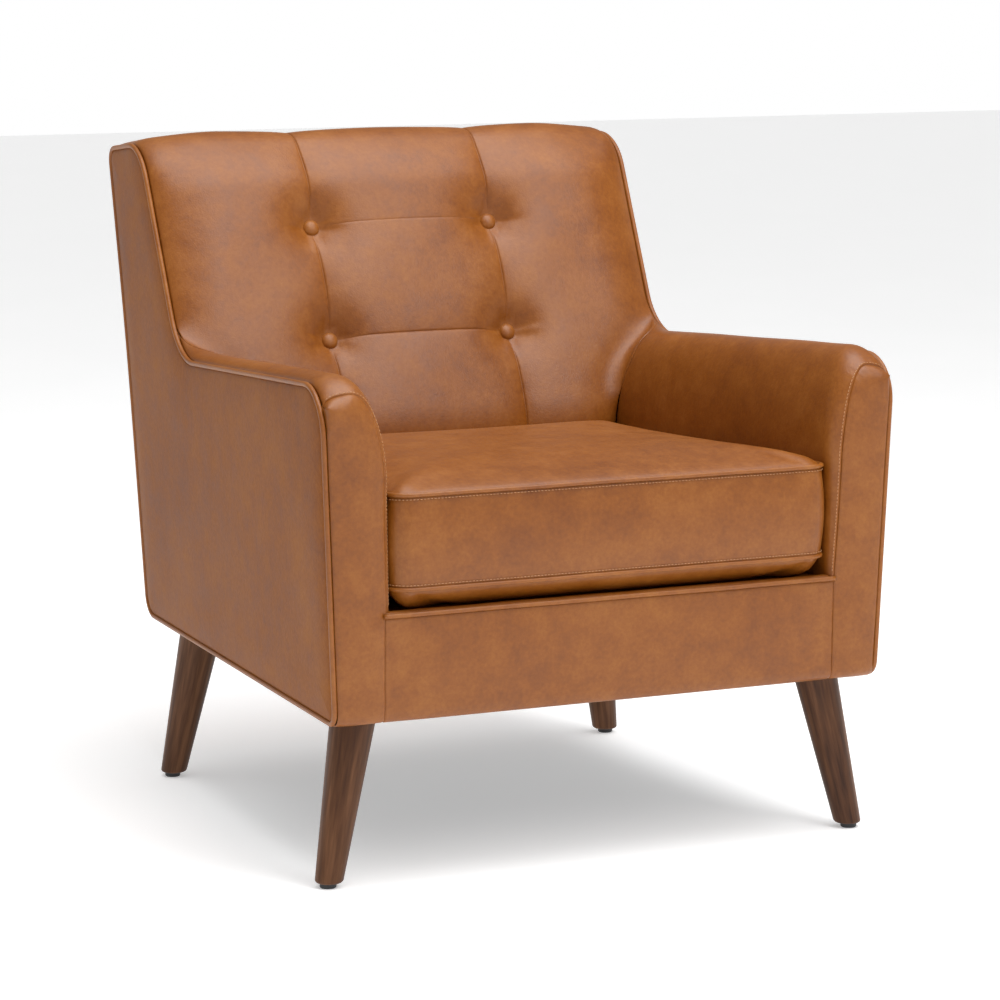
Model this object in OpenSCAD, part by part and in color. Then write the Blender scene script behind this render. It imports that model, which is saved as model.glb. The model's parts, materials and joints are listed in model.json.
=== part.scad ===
// Upholstered armchair with a hardwood frame, tufted back, loose seat cushion and splayed legs.
// The chair faces -Y. Left and right are as seen from the front, so "left" is at -X. The floor is z = 0.

/* [Overall] */
// Depth from the front of the arms to the rear of the back
chair_depth = 840; // [820:5:860]
// Half width over the side panels, carried down to the floor at the front
side_x = 351.7; // [340:0.1:365]
// Outward lean of each side panel, in degrees
lean = 2.25; // [1.5:0.05:3]
// Inward taper of each side towards the rear, in degrees
taper = 3.34; // [2.5:0.01:4]
// Height of the underside of the body
body_z = 198; // [190:1:205]

/* [Arms and back] */
// Height of the arm at its front corner
arm_z = 600; // [590:1:610]
// How far the arm's padding stands above the side welt
arm_crown = 9; // [6:1:12]
// Gap between the inside arms at the front, halved
seat_half_w = 289.5; // [285:0.5:293]
// Depth of the seat, from the arm fronts to the inside back
seat_depth = 512; // [508:1:516]
// Height where the inside back starts to recline
recline_z = 470; // [460:1:480]
// Recline of the inside back, in degrees
recline = 23.35; // [22:0.05:24.5]
// Height of the crown of the back
back_z = 850; // [846:1:854]
// Distance of each tufting button from the middle
button_x = 127; // [120:1:134]
// Height of the lower row of buttons
low_button_z = 578; // [570:1:590]
// Height of the upper row of buttons
high_button_z = 720; // [700:1:730]
// Radius of a covered button
button_r = 11.5; // [10:0.5:13]

/* [Seat] */
// Height of the deck under the cushion
deck_z = 326; // [322:1:328]
// Height of the cushion's lower seam
cushion_low_seam = 355; // [350:1:358]
// Height of the cushion's upper seam
cushion_top_seam = 464; // [460:1:468]
// Height of the cushion's crown
cushion_crown_z = 486; // [480:1:490]
// Gap between the cushion and each arm
cushion_gap = 5.5; // [4:0.5:8]
// Number of sinuous seat springs
spring_count = 5; // [4:1:6]
// Length that the zipper opens
zip_travel = 400; // [360:5:410]

/* [Legs] */
// Radius of a leg at the floor end
leg_foot_r = 16.5; // [14:0.5:18]
// Radius of a leg at the body
leg_top_r = 28; // [26:0.5:30]
// Distance of each front leg's bolt from the middle of the chair
front_leg_x = 307.7; // [300:0.1:309]
// Distance of each front leg's bolt behind the arm fronts
front_leg_y = 66.2; // [64:0.1:75]
// How far a front foot stands outside its bolt
front_splay_x = 42.7; // [34:0.1:45]
// How far a front foot stands in front of its bolt
front_splay_y = 19.4; // [15:0.1:25]
// Distance of each rear leg's bolt from the middle of the chair
rear_leg_x = 283.4; // [270:0.1:285]
// Distance of each rear leg's bolt behind the arm fronts
rear_leg_y = 638; // [630:0.5:645]
// How far a rear foot stands outside its bolt
rear_splay_x = 35.5; // [28:0.1:40]
// How far a rear foot stands behind its bolt
rear_splay_y = 24.9; // [18:0.1:30]
// Radius of a levelling glide
glide_r = 10; // [9:0.5:12]
// Height of a levelling glide's foot
glide_h = 5.6; // [4.5:0.1:7]

/* [Materials] */
// Thickness of the leather covers
leather_t = 2.5; // [2:0.1:3]
// Thickness of the frame's boards
board_t = 24; // [20:1:26]
// Thickness of the side panels, card and leather together
panel_t = 4; // [3:0.5:5]
// Thickness of the foam on the arms and the front rail
pad_t = 20; // [16:1:21]
// Thickness of the foam on the back
back_pad_t = 40; // [36:1:42]
// Width of the welt cord
welt_d = 6.4; // [5:0.2:7]

/* [Hidden] */
$fn = 48;

LEFT = -1;
RIGHT = 1;
far = 1000;                          // larger than the chair, for cutting blocks
nose = 7;                            // how far the arm fronts lean out past their foot
front_y = nose - chair_depth / 2;    // where the arm fronts stand in the chair's frame
arm_slope = 0.0587;                  // fall of the arm's top towards the rear
arm_w = side_x - seat_half_w;        // inside arm to the side's line at the floor
arm_shoulder = 51;                   // how far the arm's inner top edge starts below its crown
arm_round = 100;                     // radius of the arm's inner top edge
member_x = -panel_t - board_t;       // inner face of the side frame's boards
rail_bottom = body_z + 8;            // underside of the seat frame
rail_top = 300;                      // top of the seat frame
rail_y = pad_t + 4;                  // front face of the front rail
post_w = 50;                         // width of the arm posts
arm_rail_drop = 22;                  // arm line to the top of the arm rails
arm_rail_h = 26;
stile_w = 40;                        // width of the back's stiles and posts
top_rail_z = 780;                    // underside of the back's top rail
front_foot = [front_leg_x + front_splay_x, front_leg_y - front_splay_y];
rear_foot = [rear_leg_x + rear_splay_x, rear_leg_y + rear_splay_y];
front_leg_top = [front_leg_x, front_leg_y];
rear_leg_top = [rear_leg_x, rear_leg_y];
wire_r = 2;                          // seat spring wire
spring_z = rail_top + 2 * wire_r;    // middle of the spring wire
deck_pad_z = spring_z + 2 * wire_r;  // underside of the deck's pad
deck_rear_y = 575;                   // rear end of the deck
back_low_z = 398;                    // bottom of the inside back
lower_rail_y = 580;                  // front of the lower back rail
back_rail_y = 738;                   // front of the rear seat rail
back_rear_y = 835;                   // rear top corner of the back
dust_rear_y = 720;                   // rear end of the dust cover
arc_steps = 7;                       // straight lines in a rounded corner
welt_proud = 1.2;                    // how far a welt stands out of its panel
skin_gap = 0.1;                      // between the arms' foam and leather
block_h = 35;                        // thickness of the leg mounting blocks
front_block = [110, 75];             // their sizes along X and Y
rear_block_w = 130;
rear_block_y = 600;
button_rows = [low_button_z, high_button_z];
strap_w = 50;                        // webbing
strap_t = 1.5;
web_depth = leather_t + back_pad_t + 0.5;          // front of the webbing, below the back's surface
stile_gap = (web_depth + 2 * strap_t) / cos(recline);  // back's surface to the stiles, along Y
bolt_r = 4;                          // hanger bolt and glide stem
bolt_clearance = 0.05;               // bolts in their own body
stem_clearance = 0.3;                // glide stems in their inserts
insert_r = 6.5;
insert_h = 16;
nut_r = bolt_r + 1.6;                // barrel of a T-nut
leg_base_z = glide_h + 0.4;          // level cut at the bottom of a leg
zip_z = 378;                         // middle of the zipper
zip_x = zip_travel / 2;              // where the closed slider stands
tape_w = 24;                         // zipper
tape_t = 0.8;
tape_end = 12;                       // tape past the zipper's ends
zip_pull_l = 20;
zip_pin_r = 0.6;
zip_pin_y = 4.4;                     // pin of the zipper's pull, behind the cushion
zip_eye_r = 1.7;
zip_grip_h = 6.4;
slider_w = 16;
slider_h = 10;
cushion_front_y = -4;
cushion_rear_y = seat_depth - 7;
cushion_half_w = seat_half_w - cushion_gap;
cushion_low_z = deck_z + 0.3;
cushion_corner_r = 28;

// Outline of a side, along Y and Z, with the radius of each corner. It runs anticlockwise.
side_corners = [
    [0, body_z, 15],
    [766, body_z, 32],
    [795, 560, 3000],
    [back_rear_y, 820, 22],
    [686.5, 835, 75],
    [556, arm_z - 33, 88],
    [-nose, arm_z, 58]
];

// Line of the inside back, from its tail at the lower rail to its rear top edge.
back_corners = [
    [lower_rail_y + 5, back_low_z, 1],
    [seat_depth, back_low_z, 40],
    [seat_depth, recline_z, 120],
    [seat_depth + (back_z - recline_z) * tan(recline), back_z, 65],
    [back_rear_y + 2, back_z - 20, 14],
    [back_rear_y - 3, 812, 1]
];

// Line of the outside back, from its top to where it ends under the rear rail.
rear_corners = [
    [back_rear_y - 4, 811, 1],
    [793, 560, 3000],
    [763, body_z, 30],
    [dust_rear_y + 2, body_z, 1]
];

function unit(v) = v / norm(v);
function left_of(v) = [-v.y, v.x];
function turned(v, a) = [v.x * cos(a) - v.y * sin(a), v.x * sin(a) + v.y * cos(a)];
function xy(p) = [p.x, p.y];

// One rounded corner between the directions d1 and d2, moved to the left by inset.
function corner_arc(p, d1, d2, r, inset, steps) =
    let (
        n1 = left_of(d1),
        n2 = left_of(d2),
        turn = atan2(d1.x * d2.y - d1.y * d2.x, d1 * d2),
        bend = sign(turn),
        v = p + (n1 + n2) * inset / (1 + n1 * n2),
        radius = max(0.5, r - bend * inset),
        start = v - d1 * radius * tan(abs(turn) / 2),
        centre = start + n1 * radius * bend
    )
    [for (k = [0:steps]) centre + turned(start - centre, turn * k / steps)];

// A closed outline with rounded corners, moved inwards by inset.
function rounded_outline(corners, inset = 0) =
    let (n = len(corners))
    [for (i = [0:n - 1])
        let (
            p = xy(corners[i]),
            d1 = unit(p - xy(corners[(i + n - 1) % n])),
            d2 = unit(xy(corners[(i + 1) % n]) - p)
        )
        each corner_arc(p, d1, d2, corners[i].z, inset, arc_steps)];

// An open line with rounded corners, moved to its right by inset.
function rounded_path(corners, inset = 0, steps = arc_steps) =
    let (
        n = len(corners),
        first = unit(xy(corners[1]) - xy(corners[0])),
        last = unit(xy(corners[n - 1]) - xy(corners[n - 2]))
    )
    concat(
        [xy(corners[0]) - left_of(first) * inset],
        [for (i = [1:n - 2])
            let (
                p = xy(corners[i]),
                d1 = unit(p - xy(corners[i - 1])),
                d2 = unit(xy(corners[i + 1]) - p)
            )
            each corner_arc(p, d1, d2, corners[i].z, -inset, steps)],
        [xy(corners[n - 1]) - left_of(last) * inset]
    );

function reversed(list) = [for (i = [len(list) - 1:-1:0]) list[i]];
function band(corners, from, to) = concat(rounded_path(corners, from), reversed(rounded_path(corners, to)));
function lean_x(z) = z * tan(lean);
function arm_top(y) = arm_z - arm_slope * (y + nose);
function arm_rail_z(y) = arm_top(y) - arm_rail_drop - arm_rail_h;
function back_depth(z) = seat_depth + (z - recline_z) * tan(recline);

// Puts children in the chair's frame. Inside, y = 0 is the foot of the arm fronts.
module placed() {
    translate([0, front_y, 0]) children();
}

// A side's frame: its own x = 0 is the side's line at the floor, and +x points out of the chair.
module tapered(side) {
    mirror([side == LEFT ? 1 : 0, 0, 0])
        translate([side_x, 0, 0])
            rotate([0, 0, taper]) children();
}

// The same frame, leaning with the side panel, so that x = 0 is the panel's outer face.
module leaning(side) {
    tapered(side) rotate([0, lean, 0]) children();
}

// Extrudes a Y-Z outline from x1 to x2.
module across(x1, x2) {
    translate([x1, 0, 0])
        rotate([90, 0, 90]) linear_extrude(x2 - x1) children();
}

// Extrudes an X-Z outline from y1 to y2.
module along(y1, y2) {
    translate([0, y2, 0])
        rotate([90, 0, 0]) linear_extrude(y2 - y1) children();
}

// Everything inside both side panels' outer faces, moved in by inset.
module between_sides(inset) {
    intersection() {
        leaning(LEFT) translate([-far - inset, -far / 2, -far / 2]) cube([far, 2 * far, 2 * far]);
        leaning(RIGHT) translate([-far - inset, -far / 2, -far / 2]) cube([far, 2 * far, 2 * far]);
    }
}

// Everything in front of the outside back.
module before_back() {
    across(-far / 2, far / 2)
        polygon(concat(rounded_path(rear_corners, panel_t + 0.1), [[-far, body_z - far], [-far, 811]]));
}

// Everything between the two inside arms.
module between_arms() {
    intersection() {
        tapered(LEFT) translate([-far - arm_w, -far / 2, 0]) cube([far, 2 * far, far]);
        tapered(RIGHT) translate([-far - arm_w, -far / 2, 0]) cube([far, 2 * far, far]);
    }
}

// A board across the chair, fitted between the side frames.
module cross_board(y, z, t, h, inset = panel_t + board_t) {
    intersection() {
        translate([-far / 2, y, z]) cube([far, t, h]);
        between_sides(inset);
    }
}

// A flat board of the side frame, given as a Y-Z outline.
module side_board(side, points) {
    leaning(side) across(member_x, -panel_t) polygon(points);
}

// Frame of the inside back: z runs up the recline and y runs into the back.
module on_back() {
    translate([0, seat_depth, recline_z])
        rotate([-recline, 0, 0]) children();
}

// Puts children at each button, looking out of the back along -y.
module at_buttons() {
    for (side = [LEFT, RIGHT], row = button_rows)
        on_back() translate([side * button_x, 0, (row - recline_z) / cos(recline)]) children();
}

// A hole for a button's twine.
module tie_hole() {
    rotate([-90, 0, 0]) cylinder(h = 80, r = 2);
}

// Puts children at the foot of each leg's bolt.
module at_leg_tops(z) {
    for (side = [LEFT, RIGHT], top = [front_leg_top, rear_leg_top])
        translate([side * top.x, top.y, z]) children();
}

module at_feet(z) {
    for (side = [LEFT, RIGHT], foot = [front_foot, rear_foot])
        translate([side * foot.x, foot.y, z]) children();
}

// ---- Hardwood frame ----

module seat_rail_front() {
    color("burlywood") placed() cross_board(rail_y, rail_bottom, board_t, rail_top - rail_bottom);
}

module seat_rail_back() {
    color("burlywood") placed() intersection() {
        cross_board(back_rail_y, rail_bottom, board_t, rail_top - rail_bottom);
        before_back();
    }
}

module seat_rail(side) {
    intersection() {
        side_board(side, [[rail_y, rail_bottom], [757, rail_bottom], [766, rail_top], [rail_y, rail_top]]);
        before_back();
    }
}

module seat_rail_left() {
    color("burlywood") placed() seat_rail(LEFT);
}

module seat_rail_right() {
    color("burlywood") placed() seat_rail(RIGHT);
}

// A block over a leg, reaching out past the side rail's inner face.
module leg_block(side, x, y, size) {
    mirror([side == LEFT ? 1 : 0, 0, 0])
        translate([x - size.x / 2, y, rail_bottom]) cube([size.x + 50, size.y, block_h]);
}

// Blocks in the corners that take the leg bolts.
module leg_blocks() {
    color("tan") placed() difference() {
        intersection() {
            union() {
                for (side = [LEFT, RIGHT]) {
                    leg_block(side, front_leg_x, rail_y + board_t, front_block);
                    leg_block(side, rear_leg_x, rear_block_y, [rear_block_w, back_rail_y - rear_block_y]);
                }
            }
            between_sides(panel_t + board_t);
        }
        at_leg_tops(rail_bottom - 1) cylinder(h = block_h + 2, r = nut_r + bolt_clearance);
    }
}

module arm_post(side) {
    side_board(side, [
        [rail_y, rail_top], [rail_y + post_w, rail_top],
        [rail_y + post_w, arm_rail_z(rail_y + post_w)], [rail_y, arm_rail_z(rail_y)]
    ]);
}

module arm_post_left() {
    color("burlywood") placed() arm_post(LEFT);
}

module arm_post_right() {
    color("burlywood") placed() arm_post(RIGHT);
}

module arm_rail(side) {
    rear = 580;
    side_board(side, [
        [rail_y, arm_rail_z(rail_y)], [rear, arm_rail_z(rear)],
        [rear, arm_rail_z(rear) + arm_rail_h], [rail_y, arm_rail_z(rail_y) + arm_rail_h]
    ]);
}

module arm_rail_left() {
    color("burlywood") placed() arm_rail(LEFT);
}

module arm_rail_right() {
    color("burlywood") placed() arm_rail(RIGHT);
}

// Stile that carries the inside back's webbing.
module back_stile(side) {
    front = seat_depth + stile_gap;
    top_y = back_depth(top_rail_z) + stile_gap;
    side_board(side, [
        [front, rail_top], [front + stile_w, rail_top], [front + stile_w, recline_z],
        [top_y + stile_w, top_rail_z], [top_y, top_rail_z], [front, recline_z]
    ]);
}

module back_stile_left() {
    color("burlywood") placed() difference() {
        back_stile(LEFT);
        arm_rail(LEFT);
        top_rail();
    }
}

module back_stile_right() {
    color("burlywood") placed() difference() {
        back_stile(RIGHT);
        arm_rail(RIGHT);
        top_rail();
    }
}

// Post at the rear that carries the outside back, bent as the chair's rear edge is.
module back_post(side) {
    line = [[764, rail_top], [786, 560], [819, top_rail_z]];
    side_board(side, concat(line, [for (p = reversed(line)) p - [stile_w, 0]]));
}

module back_post_left() {
    color("burlywood") placed() difference() {
        back_post(LEFT);
        top_rail();
    }
}

module back_post_right() {
    color("burlywood") placed() difference() {
        back_post(RIGHT);
        top_rail();
    }
}

// Flat board along the top of the back, on the stiles and posts.
module top_rail() {
    top = top_rail_z + board_t;
    intersection() {
        across(-far / 2, far / 2) polygon([
            [back_depth(top_rail_z) + stile_gap, top_rail_z], [818, top_rail_z],
            [822, top], [back_depth(top) + stile_gap, top]
        ]);
        between_sides(panel_t);
    }
}

module back_top_rail() {
    color("burlywood") placed() top_rail();
}

module back_lower_rail() {
    color("burlywood") placed() cross_board(lower_rail_y, 345, board_t, 50);
}

// ---- Suspension ----

spring_first_y = rail_y + 12;
spring_length = back_rail_y - spring_first_y + 12;
spring_runs = 19;
spring_pitch = spring_length / (spring_runs - 1);
spring_half_w = 20;
spring_spacing = 95;

// One sinuous spring: runs across the seat, joined by round turns.
module sinuous_spring() {
    bends = [for (i = [0:spring_runs - 1], end = [0, 1])
        [(i + end) % 2 == 0 ? -spring_half_w : spring_half_w, i * spring_pitch, spring_pitch / 2 - 0.1]];
    translate([0, 0, -wire_r])
        linear_extrude(2 * wire_r)
            polygon(concat(rounded_path(bends, -wire_r, 2), reversed(rounded_path(bends, wire_r, 2))));
}

module at_springs() {
    for (i = [0:spring_count - 1])
        translate([(i - (spring_count - 1) / 2) * spring_spacing, spring_first_y, spring_z]) children();
}

module seat_springs() {
    color("dimgray") placed() at_springs() sinuous_spring();
}

// A folded clip over the straight part of a spring's last run, on the rail's top.
module spring_clip(side) {
    slot = 2 * wire_r + 0.2;
    clip_w = 15;
    translate([side * spring_half_w / 2 - clip_w / 2, 0, 0]) difference() {
        translate([0, -6, -2 * wire_r]) cube([clip_w, 12, 4 * wire_r]);
        translate([-1, -slot / 2, -slot / 2]) cube([clip_w + 2, slot, slot]);
    }
}

module spring_clips() {
    color("silver") placed() at_springs() {
        spring_clip(LEFT);
        translate([0, spring_length, 0]) spring_clip(RIGHT);
    }
}

// Elastic straps behind the back's foam: four across to the stiles, and two upright behind those.
module back_webbing() {
    first_strap = 25;
    strap_pitch = 75;
    upright = [10, 305];
    color("dimgray") placed() difference() {
        intersection() {
            on_back() {
                for (i = [0:3])
                    translate([-far / 2, web_depth, first_strap + i * strap_pitch]) cube([far, strap_t, strap_w]);
                for (side = [LEFT, RIGHT])
                    translate([side * button_x - strap_w / 2, web_depth + strap_t, upright[0]])
                        cube([strap_w, strap_t, upright[1]]);
            }
            between_sides(panel_t + 2);
        }
        arm_rail(LEFT);
        arm_rail(RIGHT);
        at_buttons() tie_hole();
    }
}

// ---- Deck and front rail ----

module deck_pad() {
    color("whitesmoke") placed() intersection() {
        translate([-far / 2, rail_y, deck_pad_z])
            cube([far, deck_rear_y - rail_y, deck_z - leather_t - deck_pad_z]);
        between_arms();
    }
}

module deck_cover() {
    color("saddlebrown") placed() intersection() {
        translate([-far / 2, rail_y + 6, deck_z - leather_t])
            cube([far, deck_rear_y - rail_y - 6, leather_t]);
        between_arms();
    }
}

module front_rail_foam() {
    color("whitesmoke") placed() intersection() {
        translate([-far / 2, leather_t, body_z + 2])
            cube([far, rail_y - leather_t, deck_z - leather_t - body_z - 2]);
        between_arms();
    }
}

module front_rail_cover() {
    color("sienna") placed() intersection() {
        union() {
            translate([-far / 2, 0, body_z]) cube([far, leather_t, deck_z - body_z]);
            translate([-far / 2, 0, deck_z - leather_t]) cube([far, rail_y + 6, leather_t]);
        }
        between_arms();
    }
}

module front_rail_welt() {
    color("chocolate") placed() intersection() {
        translate([-far / 2, -welt_d / 2, deck_z - welt_d / 2])
            rotate([0, 90, 0]) cylinder(h = far, r = welt_d / 2);
        translate([-far / 2, -welt_d, deck_z - welt_d]) cube([far, welt_d, 2 * welt_d]);
        between_arms();
    }
}

// ---- Arms ----

// Front view of an arm, in the tapered frame, moved in by inset on its inner and top faces. A block that
// is cut out of another reaches past the other's outer face.
module arm_section(inset, reach) {
    top = arm_z + arm_crown;
    outer = reach - panel_t / cos(lean);
    welt_z = arm_z - 8 - reach * 0.58;
    polygon(concat(
        [[lean_x(0) + outer, 0]],
        rounded_path([[lean_x(welt_z) + outer, welt_z, 1], [-10, top, 30],
            [-arm_w, top - arm_shoulder, arm_round], [-arm_w, 0, 1]], -inset)
    ));
}

// Side view of an arm's padding, moved in by inset at its front and top.
module arm_side(inset) {
    top = arm_z + arm_crown;
    rise = arm_slope * 620;
    polygon(concat(
        rounded_path([[620, top - rise, 1], [-nose, top, 64], [0, body_z, 15], [40, body_z, 1]], -inset),
        [[620, body_z]]
    ));
}

module arm_block(side, inset, reach = 0) {
    tapered(side) intersection() {
        along(-50, 620) arm_section(inset, reach);
        across(-200, 100) arm_side(inset);
    }
}

// The space of the back, behind the line of the inside back.
module back_space() {
    across(-far / 2, far / 2) polygon([
        [lower_rail_y + 5, back_low_z], [seat_depth, back_low_z], [seat_depth, recline_z],
        [back_depth(back_z), back_z], [far, back_z], [far, back_low_z]
    ]);
}

// Cuts an arm's padding open below the deck and behind the inside back.
module arm_cut() {
    translate([-far / 2, rail_y, 0]) cube([far, far, deck_z - 18]);
    translate([-far / 2, deck_rear_y, 0]) cube([far, far, back_low_z + 1]);
    back_space();
}

module arm_foam(side) {
    difference() {
        arm_block(side, leather_t + skin_gap);
        arm_block(side, leather_t + pad_t, 6);
        tapered(side) translate([-arm_w + pad_t, rail_y, 0]) cube([far, far, arm_z - 46]);
        arm_cut();
        arm_rail(side);
    }
}

module arm_foam_left() {
    color("whitesmoke") placed() arm_foam(LEFT);
}

module arm_foam_right() {
    color("whitesmoke") placed() arm_foam(RIGHT);
}

// The arm's leather: a skin over the foam, divided at the front seam.
module arm_skin(side) {
    difference() {
        arm_block(side, 0);
        arm_block(side, leather_t, 6);
        tapered(side) translate([-arm_w + leather_t, leather_t, 0]) cube([far, far, arm_z - 80]);
        arm_cut();
    }
}

module inside_arm(side) {
    difference() {
        arm_skin(side);
        translate([-far / 2, -far, 0]) cube([far, far + 14, far]);
    }
}

module arm_front(side) {
    intersection() {
        arm_skin(side);
        translate([-far / 2, -far, 0]) cube([far, far + 14, far]);
    }
}

module inside_arm_left() {
    color("sienna") placed() inside_arm(LEFT);
}

module inside_arm_right() {
    color("sienna") placed() inside_arm(RIGHT);
}

module arm_front_left() {
    color("peru") placed() arm_front(LEFT);
}

module arm_front_right() {
    color("peru") placed() arm_front(RIGHT);
}

module outside_arm(side) {
    leaning(side) across(-panel_t, 0) polygon(rounded_outline(side_corners, welt_d));
}

module outside_arm_left() {
    color("saddlebrown") placed() outside_arm(LEFT);
}

module outside_arm_right() {
    color("saddlebrown") placed() outside_arm(RIGHT);
}

// The welt around a whole side: arm, back, rear edge and bottom.
module side_welt(side) {
    leaning(side) across(-panel_t, welt_proud) difference() {
        polygon(rounded_outline(side_corners));
        polygon(rounded_outline(side_corners, welt_d));
    }
}

module side_welt_left() {
    color("chocolate") placed() side_welt(LEFT);
}

module side_welt_right() {
    color("chocolate") placed() side_welt(RIGHT);
}

// ---- Back ----

// A layer of the back between two depths below its surface.
module back_layer(from, to) {
    intersection() {
        across(-far / 2, far / 2) polygon(band(back_corners, from, to));
        between_sides(panel_t);
    }
}

button_sink = 14;

// The round pocket that a button is drawn into.
module button_pocket() {
    rotate([90, 0, 0]) cylinder(h = 60, r = button_r + 3, center = true);
}

// The boards that the back's padding meets.
module back_members() {
    for (side = [LEFT, RIGHT]) {
        arm_rail(side);
        back_stile(side);
    }
    top_rail();
}

module back_foam() {
    color("whitesmoke") placed() difference() {
        back_layer(leather_t, leather_t + back_pad_t);
        back_members();
        at_buttons() {
            button_pocket();
            tie_hole();
        }
    }
}

module inside_back() {
    color("sienna") placed() difference() {
        back_layer(0, leather_t);
        back_members();
        at_buttons() button_pocket();
    }
}

module outside_back() {
    color("saddlebrown") placed() intersection() {
        across(-far / 2, far / 2) polygon(band(rear_corners, 0, panel_t));
        between_sides(panel_t);
    }
}

// A covered button: a low dome with a short shank, sunk into the tufting.
module back_button() {
    dome_r = 15;
    intersection() {
        translate([0, button_sink + dome_r, 0]) sphere(dome_r);
        rotate([-90, 0, 0]) cylinder(h = button_sink + 7, r = button_r);
    }
    translate([0, button_sink + 6.5, 0]) rotate([-90, 0, 0]) cylinder(h = 9, r = 3);
}

module back_buttons() {
    color("sienna") placed() at_buttons() back_button();
}

// Twine from each button's shank to a washer behind the webbing.
module button_tie() {
    start = button_sink + 15.6;
    end = leather_t + back_pad_t + 4;
    translate([0, start, 0]) rotate([-90, 0, 0]) cylinder(h = end - start, r = 1.2);
    translate([0, end, 0]) rotate([-90, 0, 0]) cylinder(h = 2, r = 9);
}

module button_ties() {
    color("ivory") placed() at_buttons() button_tie();
}

// ---- Underside and legs ----

module dust_cover() {
    color("black") placed() difference() {
        intersection() {
            translate([-far / 2, rail_y + 1, body_z + 2]) cube([far, dust_rear_y - rail_y - 1, 1.5]);
            between_sides(panel_t + 1);
        }
        at_leg_tops(body_z) cylinder(h = 10, r = leg_top_r + 5);
    }
}

// A splayed, tapered leg cut level at both ends.
module leg(side, foot, top) {
    shift = [side * (top.x - foot.x), top.y - foot.y];
    rise = rail_bottom;
    tilt = atan2(norm(shift), rise);
    difference() {
        intersection() {
            translate([side * foot.x, foot.y, 0])
                rotate([0, tilt, atan2(shift.y, shift.x)])
                    translate([0, 0, -10]) rotate([0, 0, 90])
                        cylinder(h = rise / cos(tilt) + 30, r1 = leg_foot_r - 0.5, r2 = leg_top_r + 1);
            translate([-far / 2, -far / 2, leg_base_z]) cube([far, 2 * far, rail_bottom - leg_base_z]);
        }
        translate([side * top.x, top.y, rail_bottom - 36]) cylinder(h = 40, r = bolt_r + bolt_clearance);
        translate([side * foot.x, foot.y, 0]) cylinder(h = leg_base_z + 22, r = bolt_r + stem_clearance);
        translate([side * foot.x, foot.y, 0]) cylinder(h = leg_base_z + insert_h, r = insert_r);
    }
}

module leg_front_left() {
    color("#5a3a26") placed() leg(LEFT, front_foot, front_leg_top);
}

module leg_front_right() {
    color("#5a3a26") placed() leg(RIGHT, front_foot, front_leg_top);
}

module leg_rear_left() {
    color("#5a3a26") placed() leg(LEFT, rear_foot, rear_leg_top);
}

module leg_rear_right() {
    color("#5a3a26") placed() leg(RIGHT, rear_foot, rear_leg_top);
}

module hanger_bolts() {
    color("silver") placed() at_leg_tops(rail_bottom - 35) cylinder(h = 35 + block_h + 6, r = bolt_r);
}

// T-nuts in the tops of the leg blocks.
module t_nuts() {
    color("silver") placed() at_leg_tops(rail_bottom + block_h) difference() {
        union() {
            translate([0, 0, -12]) cylinder(h = 12, r = nut_r);
            cylinder(h = 1.8, r = 9.5);
        }
        translate([0, 0, -13]) cylinder(h = 16, r = bolt_r + bolt_clearance);
    }
}

module glide_inserts() {
    color("goldenrod") placed() at_feet(leg_base_z) difference() {
        cylinder(h = insert_h, r = insert_r);
        translate([0, 0, -1]) cylinder(h = insert_h + 2, r = bolt_r + stem_clearance);
    }
}

// A levelling glide: a round foot with a bevelled rim on a threaded stem.
module glide(side, foot) {
    translate([side * foot.x, foot.y, 0]) {
        cylinder(h = 1.2, r1 = glide_r - 1, r2 = glide_r);
        translate([0, 0, 1.2]) cylinder(h = glide_h - 1.2, r = glide_r);
        translate([0, 0, glide_h]) cylinder(h = 20, r = bolt_r);
    }
}

module glide_front_left() {
    color("#202020") placed() glide(LEFT, front_foot);
}

module glide_front_right() {
    color("#202020") placed() glide(RIGHT, front_foot);
}

module glide_rear_left() {
    color("#202020") placed() glide(LEFT, rear_foot);
}

module glide_rear_right() {
    color("#202020") placed() glide(RIGHT, rear_foot);
}

// ---- Seat cushion ----

// Plan of the cushion, which narrows towards the rear with the arms.
function cushion_plan(inset) =
    let (
        narrowing = (cushion_rear_y - cushion_front_y) * tan(taper),
        rear_half_w = cushion_half_w - narrowing
    )
    rounded_outline([
        [-cushion_half_w, cushion_front_y, cushion_corner_r],
        [cushion_half_w, cushion_front_y, cushion_corner_r],
        [rear_half_w, cushion_rear_y, cushion_corner_r],
        [-rear_half_w, cushion_rear_y, cushion_corner_r]
    ], inset);

module cushion_slab(z1, z2, inset) {
    translate([0, 0, z1]) linear_extrude(z2 - z1) polygon(cushion_plan(inset));
}

// The stuffed cushion: straight boxing, a crowned top and a bottom that pulls in.
module cushion_body(inset) {
    hull() {
        cushion_slab(cushion_low_z + inset, cushion_low_z + inset + 0.5, 22 + inset);
        cushion_slab(cushion_low_seam, cushion_top_seam, inset);
        cushion_slab(cushion_top_seam + 12, cushion_top_seam + 12.5 - inset, 26 + inset);
        cushion_slab(cushion_crown_z - inset - 0.5, cushion_crown_z - inset, 80 + inset);
    }
}

module cushion_cover() {
    color("sienna") placed() difference() {
        cushion_body(0);
        cushion_body(leather_t);
    }
}

module cushion_foam() {
    color("whitesmoke") placed() cushion_body(leather_t);
}

// Welts around the cushion's upper and lower seams.
module cushion_welts() {
    proud = 1.5;
    color("chocolate") placed() for (z = [cushion_low_seam, cushion_top_seam - welt_d / 2])
        translate([0, 0, z]) linear_extrude(welt_d / 2) difference() {
            polygon(cushion_plan(-proud));
            polygon(cushion_plan(0));
        }
}

module zipper_tape() {
    color("dimgray") placed()
        translate([-zip_x - tape_end, cushion_rear_y, zip_z - tape_w / 2])
            cube([2 * (zip_x + tape_end), tape_t, tape_w]);
}

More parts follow.
